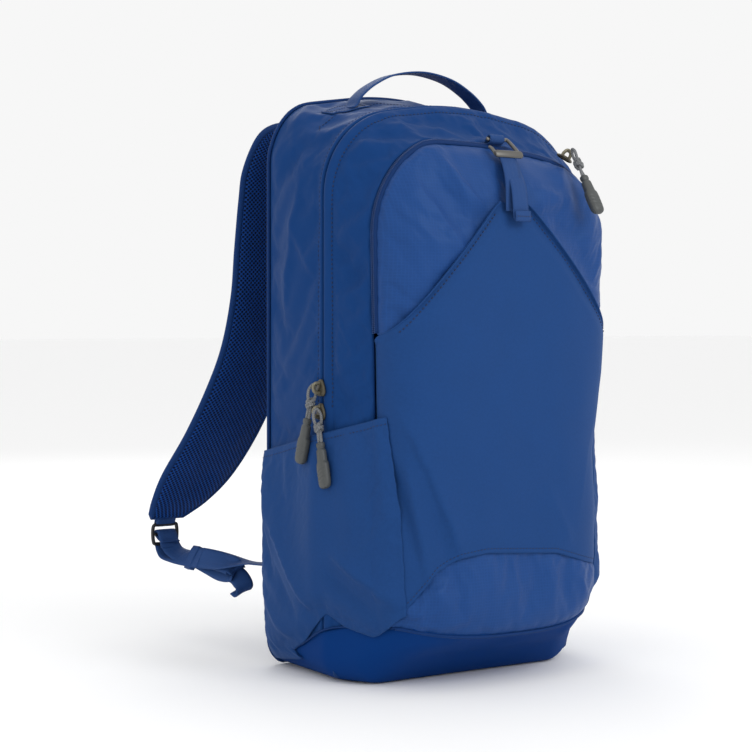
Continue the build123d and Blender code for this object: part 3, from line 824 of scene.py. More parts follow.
def stash_panel():
    """The stretch panel over the front: one sheet, cut afterwards where the flap folds."""
    heights = np.concatenate([np.linspace(96, 287, 54), [289, 291, 293], np.linspace(296, 396, 30),
                              [399.5, 402.5, 404]])
    across = np.linspace(-1, 1, 79)
    across = np.sign(across) * np.abs(across) ** 0.8
    across = np.concatenate([[-1.0], across, [1.0]])
    rows = []
    for z in heights:
        left, right = stash_edges(min(z, FLAP_TOP))
        corner = float(smooth(z, 396, 404)) * 9
        x = (left + right) / 2 + across * ((right - left) / 2 - corner)
        seam = z + (1 - smooth(z, 96, 165)) * (foot_seam(x) - 96)
        row = on_dome(x, seam, 2.4)
        rows.append(tucked(row) if z < FLAP_START else row)
    grid = np.stack(rows)
    normal, outward = normals_of(grid)
    x, z = grid[..., 0], grid[..., 2]
    hem = smooth(1 - np.abs(across), 0.0, 0.05)[None, :]
    height = hem * (0.9 * waves(grid, 41, 95) + 0.25 * waves(grid, 42, 40)) * smooth(z, 100, 140)
    add_creases(height, grid, 1,
        (7.0, (-112, -72, 232), (-58, -96, 100), 2.6, 15, (-1, 0, -0.3)),
        (-5.2, (-117, -66, 200), (-92, -90, 92), 4, 8, (-1, 0, -0.3)),
        (6.0, (-108, -80, 196), (-88, -90, 80), 2.4, 7, (-1, 0, -0.2)),
        (-2.4, (-86, -92, 150), (-70, -95, 96), 4, 7, (-1, 0, -0.2)),
        (1.8, (62, -94, 112), (30, -95, 170), 6, 18, (1, 0, 0)),
        (1.6, (112, -70, 240), (70, -92, 130), 5, 12, (1, 0, 0)))
    height *= hem * 0.7 + 0.3
    left, right = stash_edges(np.minimum(z, FLAP_TOP))
    from_edge = np.minimum(np.minimum(x - left, right - x), 404 - z)
    height -= 3.4 * (1 - smooth(from_edge, 0, 20)) * smooth(z, 290, 330)
    height[:, [0, -1]] = 0
    grid = shell_form(grid + normal * height[..., None])
    return freeze(modifiers(cloth_grid("stash_panel", grid, outward, table(x, z)), 1, 0.9)), grid


def foot_panel():
    """The ripstop panel under the stash panel, down to the piped seam."""
    across = np.concatenate([[-1.0], np.linspace(-1, 1, 81), [1.0]])
    shares = np.linspace(0, 1, 17)
    x_top = across * 115
    z_top = foot_seam(x_top) + 3
    x_low = across * 113
    z_low = 43 + 11 * np.minimum(1, np.abs(x_low) / 104) ** 2.5
    rows = []
    for s in shares:
        x = x_top * (1 - s) + x_low * s
        z = z_top * (1 - s) + z_low * s
        x = np.sign(x) * np.minimum(np.abs(x), dome_half_width(z))
        puff = 3.0 * math.sin(math.pi * s) - 5.0 * s ** 3
        rows.append(tucked(on_dome(x, z, 0.4 + puff)))
    grid = np.stack(rows)
    normal, outward = normals_of(grid)
    x, z = grid[..., 0], grid[..., 2]
    inside = np.sin(np.pi * shares)[:, None] * (1 - smooth(np.abs(x), 100, 112))
    height = inside * (1.0 * waves(grid, 51, 40) + 0.6 * waves(grid, 52, 18))
    for a, b, size in (((-106, -76, 64), (-66, -92, 98), 5.0), ((-104, -78, 52), (-52, -92, 62), 3.8),
                       ((-88, -84, 58), (-78, -90, 92), 3.2), ((98, -80, 56), (66, -92, 94), 4.0),
                       ((-30, -95, 70), (20, -96, 96), 1.8)):
        height += size * inside * crease(grid, a, b, 2.4, 8, (0.3, 0, 1))
    grid = shell_form(grid + normal * height[..., None])
    obj = cloth_grid("foot_panel", grid, outward, table(x, z))
    pins = edge_mask(grid, "tb") | edge_mask(grid, "lr", 2)
    crumple(obj, pins, 0.05, 1.0, 4.0)
    return obj, grid


def base():
    """The base, up to its seams at the sides, and up to the piped seam at the front."""
    ys = np.concatenate([[94.5], np.linspace(92, -50, 30), [-56, -63, -70, -76]])
    rows = []
    for y in ys:
        t, x, z = half_outline(max(y, -84))
        t_seam = at_height(y, base_height(y))
        keep = t < t_seam
        half = [np.append(values[keep], np.interp(t_seam, t, values)) for values in (x, z)]
        half = resample(np.stack(half, 1), 36)
        both = np.vstack([half[::-1] * [-1, 1], half[1:]])
        rows.append(np.stack([both[:, 0], np.full(len(both), y), both[:, 1]], 1))
    front = []
    last = rows[-1]
    for s in (0.35, 0.7, 1.0):
        target = np.stack([last[:, 0] * 0.99, dome_y(last[:, 0] * 0.95, 50.0) + 3.5 + 0 * last[:, 0],
                           43 + 11 * np.abs(last[:, 0] / 104) ** 2.5], 1)
        front.append(last * (1 - s) + target * s)
    grid = np.stack(rows + front)
    grid[..., 2] = np.maximum(grid[..., 2], 0.3)
    normal, outward = normals_of(grid, (0, 0, 120))
    sink = 0.5 + 0.7 * smooth(grid[..., 2], 2, 12) * (0.5 + 0.5 * waves(grid, 61, 40))
    grid = shell_form(grid - normal * sink[..., None])
    piece(modifiers(cloth_grid("base_fabric", grid, outward), 1, 0.8), "base", "pack", "base_panel")


def front_wall():
    """The thin wall between the stash pocket and the front compartment."""
    rows = []
    for z in np.linspace(96, 289.5, 30):
        x = np.linspace(-1, 1, 41) * (float(dome_half_width(z)) - 3)
        rows.append(on_dome(x, np.full(41, z), -6.5))
    grid = shell_form(np.stack(rows))
    obj = freeze(modifiers(cloth_grid("front_lining", grid), 1, 0.6))
    piece(obj, "lining", FRONT_BLEND, "front_wall_lower", "front_wall_mid")


POCKET_FLOOR = [(92, 7), (60, 17), (30, 31), (10, 48), (-3, 60), (-20, 50), (-45, 44), (-60, 52), (-74, 64)]


def pocket_plan(z):
    """The bag's left side from above at one height: from the back seam round the front corner."""
    side = [(-half_width(y, z), y) for y in np.linspace(92, -50, 40)]
    width = float(dome_half_width(z))
    xs = -width * np.sin(np.linspace(math.pi / 2, 0.9, 40))
    limit = np.interp(z, [60, 150, 230], [-78, -75, -66])
    front = [(x, float(dome_y(x, z)) - 1.0) for x in xs if dome_y(x, z) > limit]
    return np.array(side + front)


def pocket(sign):
    """A stretch side pocket: a bulging sheet sewn at its back, front and foot, open at its hem."""
    cols, rows = 66, 60
    run = np.linspace(0, 1, cols)[None, :]
    rise = np.linspace(0, 1, rows)[:, None]
    middle_plan = resample(pocket_plan(140), cols)
    floor = np.interp(-middle_plan[:, 1], [-p[0] for p in POCKET_FLOOR], [p[1] for p in POCKET_FLOOR])
    heights = floor * (1 - rise) + (190 + 37 * run ** 1.05) * rise
    grid = np.zeros((rows, cols, 3))
    grid[..., 2] = heights
    levels = np.linspace(5, 235, 47)
    plans = np.stack([resample(pocket_plan(level), cols) for level in levels])
    for j in range(cols):
        for axis in (0, 1):
            grid[:, j, axis] = np.interp(grid[:, j, 2], levels, plans[:, j, axis])
    normal, outward = normals_of(grid)
    edge = smooth(run, -0.02, 0.05) * (1 - smooth(run, 0.94, 1.0))
    full = edge * (0.6 * smooth(rise, -0.02, 0.16) + 0.4 * smooth(rise, 0.0, 0.5))
    full = full * (1 - 0.25 * smooth(rise, 0.72, 1.0))
    front = smooth(run, 0.72, 0.98)
    height = 1.6 + full * (13.0 - 3.5 * smooth(run, 0.1, 0.5) - 4.5 * front)
    folds = 0.8 * waves(grid, 71 + sign, 60)
    add_creases(folds, grid, 1,
        (6.4, (-136, 66, 136), (-134, 2, 56), 2.6, 14, (0, 1, -0.6)),
        (-4.2, (-136, 74, 118), (-134, 24, 46), 6, 8, (0, 1, -0.6)),
        (6.6, (-126, -14, 114), (-110, -76, 70), 2.6, 11, (0, 1, -0.6)),
        (-4.4, (-128, -6, 100), (-112, -66, 56), 5, 7, (0, 1, -0.6)),
        (4.0, (-134, 86, 196), (-134, 56, 70), 2.6, 14, (0, 1, 0)),
        (3.6, (-134, 84, 66), (-132, 26, 18), 2.6, 9, (0, 1, 0.5)),
        (1.6, (-130, 50, 196), (-133, 38, 150), 3, 10, (0, 1, 0)))
    height = height + folds * np.minimum(edge, 0.15 + smooth(rise, 0, 0.12)) - 0.8 * smooth(rise, 0.965, 1.0)
    grid = grid + normal * height[..., None]
    if sign > 0:
        grid = grid * [-1, 1, 1]
        outward = not outward
    grid = shell_form(grid)
    name = "side_pocket_fabric_" + ("left" if sign < 0 else "right")
    obj = cloth_grid(name, grid, outward, table(run * 200, heights))
    pins = edge_mask(grid, "tlr") | edge_mask(grid, "b", 2)
    crumple(obj, pins, 0.022, 1.2, 4.0, bending=1.2)
    return obj, grid


# ---------------------------------------------------------------- build the bag

gusset_obj = gusset()
band_obj = lid_band()
door_obj = door()
foot_obj, foot_grid = foot_panel()
pocket_left, pocket_left_grid = pocket(-1)
pocket_right, pocket_right_grid = pocket(1)
base()
front_wall()
run_cloth()

piece(modifiers(gusset_obj, 1, 0.7), "plain", "pack", "gusset_left", "gusset_right", "gusset_top")
piece(freeze(modifiers(band_obj, 1, 0.7)), "plain", LID_BLEND,
      "lid_band_left", "lid_band_right", "lid_band_top", "lower_side_left", "lower_side_right")
piece(modifiers(door_obj, 1, 0.6), "ripstop", "front_door", "front_door_panel")
piece(modifiers(foot_obj, 1, 0.7), "ripstop", "pack", "front_foot_panel")
piece(modifiers(pocket_left, 1, 1.0), "stretch_woven", "pack", "side_pocket_left")
piece(modifiers(pocket_right, 1, 1.0), "stretch_woven", "pack", "side_pocket_right")


def split_at(obj, z, upper_name):
    """Cuts an object in two at a height and keeps the whole sheet's shading on both halves."""
    mesh = obj.data
    normals = np.zeros(len(mesh.vertices) * 3)
    mesh.vertex_normals.foreach_get("vector", normals)
    normals = normals.reshape(-1, 3)
    co = np.array([v.co[:] for v in mesh.vertices])
    flat = np.zeros(len(mesh.loops) * 2)
    mesh.uv_layers[0].data.foreach_get("uv", flat)
    flat = flat.reshape(-1, 2)
    halves = []
    for name, above in ((obj.name, False), (upper_name, True)):
        chosen = [p for p in mesh.polygons if (p.center.z > z * MM) == above]
        used = sorted({v for p in chosen for v in p.vertices})
        index = {v: i for i, v in enumerate(used)}
        faces = [tuple(index[v] for v in p.vertices) for p in chosen]
        half = add_mesh(name + "_part", co[used] / MM, faces)
        layer = half.data.uv_layers.new(name="UVMap")
        chosen_uv = np.vstack([flat[list(p.loop_indices)] for p in chosen])
        layer.data.foreach_set("uv", chosen_uv.astype(np.float32).ravel())
        half.data.normals_split_custom_set_from_vertices([tuple(n) for n in normals[used]])
        halves.append(half)
    name = obj.name
    bpy.data.objects.remove(obj)
    halves[0].name, halves[1].name = name, upper_name
    return halves


stash_obj, stash_grid = stash_panel()
stash_tree = surface_of(stash_obj)
stash_obj, flap_obj = split_at(stash_obj, FLAP_Z, "stash_flap_fabric")
piece(stash_obj, "stretch_woven", FRONT_BLEND, "stash_panel_lower", "stash_panel_mid")
piece(flap_obj, "stretch_woven", "stash_flap", "stash_flap_panel")

band_tree = surface_of(band_obj)
door_tree = surface_of(door_obj)
gusset_tree = surface_of(gusset_obj)
foot_tree = surface_of(foot_obj)
pocket_trees = {-1: surface_of(pocket_left), 1: surface_of(pocket_right)}

# ---------------------------------------------------------------- zips


def arch(y, z_low, half_count, grow=0.0):
    """The outline at one depth from a height on the left over the crown to the right, as it sags."""
    return shell_form(around(y, at_height(y, z_low), half_count, grow))


def outline_normals(path):
    """Outward directions of an arch in its own plane."""
    normals = unit(np.cross(direction(path), np.array([0.0, 1.0, 0.0])))
    return normals * np.sign(((path - np.array([0, path[0, 1], 300])) * normals).sum(1).mean())


def teeth(name, path, out, y, lean, body, pitch=1.5, width=2.0, radius=0.42):
    """One side of a coil zip: a small leaning capsule for every turn of the coil."""
    at = resample(np.hstack([path, out]), int(length_of(path) / pitch))
    places = []
    for p, t in zip(at, direction(at[:, :3])):
        n = unit(p[3:])
        reach = unit(np.array([0, 1.0, 0]) + lean * t)
        places.append((np.array([p[0], y, p[2]]), reach, n, np.cross(reach, n)))
    shape = ((-0.5, 0.5, -0.3), (-0.3, 1, 0.2), (0.3, 1, 0.2), (0.5, 0.5, -0.3))
    capsules(name, places, shape, width, radius, "zip_coil", body)


def zips():
    """The tapes and coils of both zips."""
    front = arch(FRONT_ZIP_Y, FLAP_Z + 4, 131)
    out = outline_normals(front)

    def tape(name, offsets, body, node):
        rows = [front + np.array([0, dy, 0]) + out * lift for dy, lift in offsets]
        widths = np.cumsum([0] + [math.dist(a, b) for a, b in zip(offsets, offsets[1:])])
        obj = cloth_grid(name, np.stack(rows), uv=table(run_along(front)[None, :], widths[:, None]))
        piece(modifiers(obj, 0, 0.5), "zip_tape", body, node)

    tape("front_zip_lid_tape", [(3.2, -2.2), (2.6, 0.0), (2.0, 1.2), (1.0, 1.6), (0.3, 0.9), (0.1, -0.4)],
         "lid", "front_zip_lid")
    tape("front_zip_door_tape", [(-0.1, -0.4), (-0.3, 0.9), (-1.2, 1.5), (-2.4, 0.9), (-3.4, -0.6),
                                 (-4.2, -2.4)],
         "front_door", "front_zip_door")
    teeth("front_zip_coil_lid", front + out * 1.5, out, FRONT_ZIP_Y + 1.1, 0.35, "lid")
    teeth("front_zip_coil_door", front + out * 1.4, out, FRONT_ZIP_Y - 1.2, -0.35, "front_door")

    main = arch(0, HINGE_Z + 6, 161)
    out = outline_normals(main)
    for name, depth, body, node in (("main_zip_rear_tape", 1, "pack", "main_zip_rear"),
                                    ("main_zip_lid_tape", -1, "lid", "main_zip_lid")):
        rows = [main + np.array([0, depth * d, 0]) + out * lift
                for d, lift in ((3.8, -4.6), (1.6, -4.4), (0.5, -4.2), (0.12, -4.8))]
        obj = cloth_grid(name, np.stack(rows))
        piece(modifiers(obj, 0, 0.5), "zip_tape", body, node)
    teeth("main_zip_coil_rear", main - out * 3.6, out, 0.75, 0.3, "pack", pitch=2.0, width=1.5)
    teeth("main_zip_coil_lid", main - out * 3.6, out, -0.75, -0.3, "lid", pitch=2.0, width=1.5)


zips()

# ---------------------------------------------------------------- seams


def cast_front(tree, x, z, lift=0.1):
    """Points of the front's outer surface straight behind x and z, and its normals there."""
    found, normals = [], []
    for point_x, point_z in zip(x, z):
        hit, normal, _, _ = tree.ray_cast(Vector((point_x, -160, point_z)), Vector((0, 1, 0)))
        if hit is not None:
            normal = normal if normal.y < 0 else -normal
            found.append(np.array(hit) + np.array(normal) * lift)
            normals.append(np.array(normal))
    return np.array(found), np.array(normals)


def seams():
    """Rows of stitches along the seams and hems."""
    flap_rows = []
    for x0, z0, x1, z1, side in ((-122, 288, -27, 396, 1), (122, 288, 17, 396, -1)):
        z = np.linspace(z0 + 7, z1 - 2, 60)
        x = np.interp(z, [z0, z1], [x0, x1]) + side * 5.6
        formed = shell_form(on_dome(x, z, 2.4))
        flap_rows.append(cast_front(stash_tree, formed[:, 0], formed[:, 2]))
    stitches("flap_hem_stitches", flap_rows, "stash_flap", pitch=3.8, stitch=2.2, radius=0.55)
    storm = arch(-11.0, 232, 150, 1.0)
    stitches("storm_flap_stitches", [laid_on(band_tree, storm, 0.1)], "lid", pitch=3.8, stitch=2.2,
             radius=0.5)
    rear = shell_form(around(6.5, at_height(6, 232), 150, 1.0))
    stitches("rear_zip_stitches", [laid_on(gusset_tree, rear, 0.05)], "pack", pitch=3.8, stitch=2.4,
             radius=0.32)
    for sign, name, grid in ((-1, "left", pocket_left_grid), (1, "right", pocket_right_grid)):
        hem = grid[-3]
        line = laid_on(pocket_trees[sign], hem, 0.05)
        stitches("pocket_hem_stitches_" + name, [line], "pack", pitch=3.4, stitch=2.2, radius=0.34)
    lower = stash_grid[0] + (stash_grid[2] - stash_grid[0]) * 0.6
    stitches("stash_foot_stitches", [laid_on(stash_tree, lower, 0.05)], "pack", pitch=3.4, stitch=2.2,
             radius=0.32)
    top = [(-124, 36, 478), (-104, 36, 490), (-88, 40, 497), (-60, 44, 503), (0, 46, 508)]
    points = shell_form(np.array(spline(top, 40)))
    stitches("gusset_dart_stitches", [laid_on(gusset_tree, points, 0.05)], "pack", pitch=3.6, stitch=2.4)


seams()


def piping():
    """Bound and piped seams: the back edge, the foot and the base."""
    back = shell_form(around(93.5, 1.5, 150, 0.4))
    t, x, z = half_outline(93.5, 0.4)
    keep = t <= 1.5
    low_half = resample(np.stack([x[keep], z[keep]], 1), 30)
    low = np.vstack([low_half[::-1], low_half[1:] * [-1, 1]])
    low = np.stack([low[:, 0], np.full(len(low), 93.5), np.maximum(low[:, 1], 2.6)], 1)
    loop = np.vstack([back, low[1:-1]])
    piece(tube("back_edge_binding", loop + [0, 1.2, 0], 1.7, 8, closed=True), "binding", "pack")
    front = foot_grid[-1, 3:-3]
    piece(tube("foot_piping", resample(front + [0, -0.6, -0.8], 120), 1.5, 8), "binding", "pack")
    for sign, name in SIDES:
        knots = [(sign * (half_width(y, float(base_height(y))) + 0.8), y, float(base_height(y)))
                 for y in (92, 60, 30, 0, -20, -40, -52)]
        knots += [(sign * 111.5, -60, 53), (sign * 107, -70, 54)]
        piece(tube("base_seam_" + name, shell_form(spline(knots, 60)), 0.9, 6), "binding", "pack")


piping()

# ---------------------------------------------------------------- back panel, inside


def outline_rings(y, shares):
    """The closed outline shrunk towards its middle line."""
    _, x, z = half_outline(y)
    half = resample(np.stack([x, z], 1), 150)
    loop = np.vstack([half, half[-2:0:-1] * [-1, 1]])
    spine = np.stack([loop[:, 0] * 0, np.clip(loop[:, 1], 110, 400)], 1)
    return np.array([spine + (loop - spine) * s for s in shares])


def back_pad():
    """The padded mesh back: two long pads with a channel between, and cross channels."""
    shares = np.linspace(0.985, 0.0, 36)
    rings = outline_rings(95, shares)
    x, z = rings[..., 0], rings[..., 1]
    width = 118.0
    a = np.abs(x)
    pads = smooth(a, 9, 22) * (1 - smooth(a, width - 26, width - 8))
    pads = pads * smooth(z, 22, 45) * (1 - smooth(z, 425, 455))
    for level in (150, 285):
        pads = pads * (1 - 0.75 * np.exp(-((z - level) / 7.0) ** 2))
    y = 91.0 + 6.5 * pads + 0.8 * waves(np.stack([x, z * 0, z], -1), 81, 30) * pads
    y[0] = 90.0
    grid = shell_form(np.stack([x, y, z], -1))
    pad = cloth_grid("back_pad", grid, uv=table(x, z), wrap=True)
    if not normals_of(grid, (0, 0, 250))[1]:
        pad.data.flip_normals()
    piece(modifiers(pad, 1, 5.0), "back_mesh", "pack", "back_panel")


back_pad()


def sheet_inside(name, y, z_low, z_high, margin, thickness, body, *nodes):
    """A flat lining sheet across the bag, a margin short of its sides."""
    _, x, h = half_outline(y)
    rows = []
    for z in np.linspace(z_low, z_high, 30):
        side = np.interp(min(z, 486), h[SIDE_ROW:], x[SIDE_ROW:]) if z > h[SIDE_ROW] else x[SIDE_ROW]
        xs = np.linspace(margin - side, side - margin, 31)
        rows.append(np.stack([xs, np.full(31, y), np.full(31, z)], 1))
    grid = np.stack(rows)
    grid[..., 1] += 0.8 * waves(grid, 91, 70)
    piece(freeze(modifiers(cloth_grid(name, grid), 1, thickness)), "lining", body, *nodes)


sheet_inside("divider", -5.4, 4, 476, 5, 0.8, ("pack", "lid", (0, -0.005, 0.19), (0, -0.005, 0.25)),
             "divider_lower", "divider_upper")
sheet_inside("laptop_sleeve_fabric", 64.8, 12, 330, 12, 2.4, "pack", "laptop_sleeve")
sleeve_top = np.stack([np.linspace(-117, 117, 40), np.full(40, 64.8), np.full(40, 330.0)], 1)
piece(tube("sleeve_edge_binding", sleeve_top, 2.0, 8), "binding", "pack")
sheet_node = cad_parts["frame_sheet"]
sheet_node.data.materials.clear()
sheet_node.data.materials.append(MATERIALS["frame_sheet"])

# ---------------------------------------------------------------- shoulder straps

STRAP_PATH = np.array([
    (101, 478, -95, 65), (138, 482, -98, 65), (164, 473, -101, 65), (184, 445, -104, 66),
    (190, 418, -105, 67), (193, 372, -108, 69), (193, 327, -112, 71), (199, 280, -119, 73),
    (209, 240, -130, 75), (227, 197, -143, 76), (249, 158, -156, 74), (262, 133, -160, 58),
    (270, 117, -160, 36),
], float)


def strap(sign, name):
    """A padded strap: mesh on the wearer's side, fabric outside, bound edges and sewn webbing."""
    rows = 110
    path = spline(np.column_stack([STRAP_PATH[:, 2], STRAP_PATH[:, 0], STRAP_PATH[:, 1], STRAP_PATH[:, 3]]),
                  rows)
    outer_x, y, z, width = path.T
    along = unit(np.stack([np.zeros(rows), np.gradient(y), np.gradient(z)], 1))
    out = np.stack([np.zeros(rows), -along[:, 2], along[:, 1]], 1)
    cols = 25
    a = np.linspace(-1, 1, cols)
    puff = (1 - np.abs(a) ** 4) ** 0.55
    run = run_along(np.stack([y, z], 1))
    end = smooth(run, 0, 14) * (1 - smooth(run, run[-1] - 20, run[-1] - 2)) * 0.6 + 0.4
    middle = np.stack([outer_x + width / 2, y, z], 1)
    groove = np.exp(-(a / 0.1) ** 2)
    for part, side_sign, flat, material, nodes in (
            ("strap_mesh_", -1, 5.3, "spacer_mesh", ("strap_foam_", "strap_mesh_")),
            ("strap_face_", 1, 5.0, "plain", ("strap_face_",))):
        points = []
        for i in range(rows):
            offset = side_sign * (1.3 + (flat - 1.3) * puff * end[i])
            if side_sign < 0:
                share = run[i] / run[-1]
                dent = np.exp(-((a - 0.1) / 0.28) ** 4) * math.exp(-((share - 0.9) / 0.028) ** 4)
                for level in (0.66, 0.74, 0.82):
                    dent = dent + np.exp(-((a - 0.7) / 0.16) ** 4) * math.exp(-((share - level) / 0.022) ** 4)
                offset = offset + 0.9 * dent - 0.3 * groove * (share < 0.55)
            row = middle[i] + np.outer(a * (width[i] / 2 - 1.2), [1, 0, 0]) + np.outer(offset, out[i])
            points.append(row)
        grid = np.stack(points) * [-sign, 1, 1]
        uv = table(a[None, :] * width[:, None] / 2, run[:, None])
        normal = unit(np.cross(np.gradient(grid, axis=1), np.gradient(grid, axis=0)))
        outward = float((normal * out[:, None, :]).sum(-1).mean()) * side_sign > 0
        obj = cloth_grid(part + "fabric_" + name, grid, outward, uv)
        piece(modifiers(obj, 1, 1.1), material, "strap_" + name, *[node + name for node in nodes])
    mirror = np.array([-float(sign), 1, 1])
    loop = np.vstack([middle + np.outer(width / 2 - 1.2, [-1, 0, 0]),
                      (middle + np.outer(width / 2 - 1.2, [1, 0, 0]))[::-1]])
    edge = tube("strap_edge_binding_" + name, loop * mirror, 3.2, 10, closed=True, flatten=0.72,
                flat_axis=(0, 1, 0))
    piece(edge, "binding", "strap_" + name, "strap_binding_" + name)
    start = int(rows * 0.24)
    web_mid = (middle + out * 5.9)[start:-4]
    web = strip("strap_daisy_" + name, web_mid * mirror, np.array([1.0, 0, 0]), out[start:-4], 25, 1.5)
    piece(web, "webbing", "strap_" + name, "strap_daisy_webbing_" + name)
    lines = []
    for k in range(3, len(web_mid) - 3, 9):
        bar = web_mid[k] + out[start + k] * 0.95
        span = np.stack([bar + [w, 0, 0] for w in (-11, 0, 11)]) * mirror
        lines.append((span, np.repeat(out[start + k][None], 3, 0)))
    stitches("strap_bar_tacks_" + name, lines, "strap_" + name, pitch=2.2, stitch=2.0, radius=0.5)


for sign, name in SIDES:
    strap(sign, name)


def yoke():
    """The fabric reinforcement that the straps are sewn under."""
    across = np.linspace(-100, 100, 41)
    rows = []
    for s in np.linspace(0, 1, 15):
        z = 440 + 44 * s
        y = 96.4 + 2.0 * math.sin(math.pi * s) ** 0.5
        rows.append(np.stack([across, np.full(41, y), np.full(41, z)], 1))
    grid = np.stack(rows)
    grid[..., 1] += 0.3 * waves(grid, 95, 22)
    piece(modifiers(cloth_grid("yoke_fabric", grid), 1, 1.4), "webbing", "pack", "strap_yoke")
    lines = []
    for level in (446, 478):
        points = np.stack([np.linspace(-96, 96, 40), np.full(40, 98.6), np.full(40, float(level))], 1)
        lines.append((points, np.tile([0.0, 1.0, 0.0], (40, 1))))
    stitches("yoke_stitches", lines, "pack", pitch=3.6)


yoke()

BUCKLE_X, BUCKLE_Y, BUCKLE_TOP = -142.0, 274.0, 111.0


def buckle(sign, name):
    """The ladder lock: a rounded frame with a middle bar and a lipped lower bar, and its webbing."""
    mirror = np.array([-float(sign), 1, 1])
    parts = []
    left, right = BUCKLE_X - 12.4, BUCKLE_X + 12.4
    top, low = BUCKLE_TOP - 1.7, BUCKLE_TOP - 20.3
    bar_z = (top + low) / 2
    ring = [(left + 2, top), (right - 2, top), (right, top - 2), (right + 0.6, bar_z),
            (right - 0.4, low + 1.5), (right - 3, low), (left + 3, low), (left + 0.4, low + 1.5),
            (left - 0.6, bar_z), (left, top - 2)]
    loop = spline([(x, BUCKLE_Y, z) for x, z in ring + ring[:1]], 72)[:-1]
    parts.append(tube("buckle_ring", loop * mirror, 1.75, 10, closed=True, flatten=1.1, flat_axis=(0, 1, 0)))
    bar = np.stack([np.linspace(left, right, 14), np.full(14, BUCKLE_Y - 0.4), np.full(14, bar_z)], 1)
    parts.append(tube("buckle_bar", bar * mirror, 1.5, 8))
    lip = np.stack([np.linspace(left + 1, right - 1, 14), np.full(14, BUCKLE_Y + 1.0),
                    np.full(14, low - 0.4)], 1)
    parts.append(tube("buckle_lip", lip * mirror, 1.3, 8))
    lock = modifiers(join("ladder_lock_body_" + name, parts), 1)
    piece(lock, "buckle", "buckle_" + name, "ladder_lock_" + name)

    def run(label, knots, width, count=40, thick=1.4, twist=(0, 0)):
        """Webbing along the knots, which turns about its line from one angle to the other."""
        centre = spline(knots, count) * mirror
        along = direction(centre)
        turn = np.radians(twist[0] + (twist[1] - twist[0]) * smooth(np.linspace(0, 1, count), 0, 1))[:, None]
        side = np.array([mirror[0], 0, 0]) * np.cos(turn) + np.array([0, 0, 1.0]) * np.sin(turn)
        side = unit(side - (side * along).sum(1, keepdims=True) * along)
        return strip(label, centre, side, unit(np.cross(along, side)), width, thick)

    x = BUCKLE_X
    threaded = run("adjuster_webbing_" + name + "_run", [
        (x, 262, 93.5), (x, 270, 96), (x, 276.4, 100), (x, 274, 104), (x, 269, 101), (x, 266, 96),
        (x, 262, 88)], 20)
    piece(threaded, "webbing", "buckle_" + name)
    near_strap = [
        run("held", [(x, 275.5, 90), (x, 272, 84), (x, 264, 79.5), (x + 1, 248, 80), (x + 2, 228, 82),
                     (x + 2, 205, 84)], 20, twist=(0, 62)),
        run("second", [(x + 1, 264, 90), (x + 2, 258, 85), (x + 4, 244, 81.5), (x + 5, 226, 81.5),
                       (x + 5, 212, 82)], 19, twist=(10, 62)),
        run("keeper", [(x + 3.5, 228, 81.8), (x + 3.5, 216, 82.2)], 23, 8, 6.6, twist=(62, 62))]
    piece(join("adjuster_webbing_run_" + name, near_strap), "webbing",
          ("strap_" + name, "buckle_" + name, (0, 0.208, 0.083), (0, 0.266, 0.086)),
          "adjuster_webbing_" + name)
    near_pack = [
        run("span", [(-123, 130, 86), (-128, 150, 84), (-134, 178, 83.6), (x + 2, 206, 84)], 20,
            twist=(0, 62)),
        run("tail", [(x + 5, 214, 82), (x + 7, 196, 78), (x + 9, 176, 74), (x + 11, 160, 74.5),
                     (x + 11.5, 156, 78), (x + 10, 164, 81.5), (x + 8, 184, 83), (x + 5, 206, 84)],
            19, 60, twist=(62, 48)),
        run("end", [(x + 11, 162, 75), (x + 13, 152, 71), (x + 14, 145, 64), (x + 13.5, 147, 58),
                    (x + 12, 153, 60)], 18, 34, twist=(50, 20))]
    piece(join("webbing_span_" + name, near_pack), "webbing",
          ("pack", "strap_" + name, (0, 0.130, 0.083), (0, 0.204, 0.083)))
    bridge = [(-120, 96.6, 88), (-121.5, 112, 87), (-123, 130.5, 86)]
    piece(run("anchor_webbing_run_" + name, bridge, 20, 20), "webbing", "pack", "anchor_webbing_" + name)
    hang = [(x, 268.5, 121), (x, 271.5, 113), (x, 274.6, 107.6), (x, 276.8, 109.5), (x, 275, 115),
            (x, 272.5, 121)]
    piece(run("strap_buckle_loop_" + name, hang, 20, 30), "webbing", "strap_" + name)


for sign, name in SIDES:
    buckle(sign, name)

# ---------------------------------------------------------------- handle


def cloth_top(x, y):
    """The point of the top gusset's fabric under x and y."""
    return gusset_tree.ray_cast(Vector((x, y, 560)), Vector((0, 0, -1)))[0]


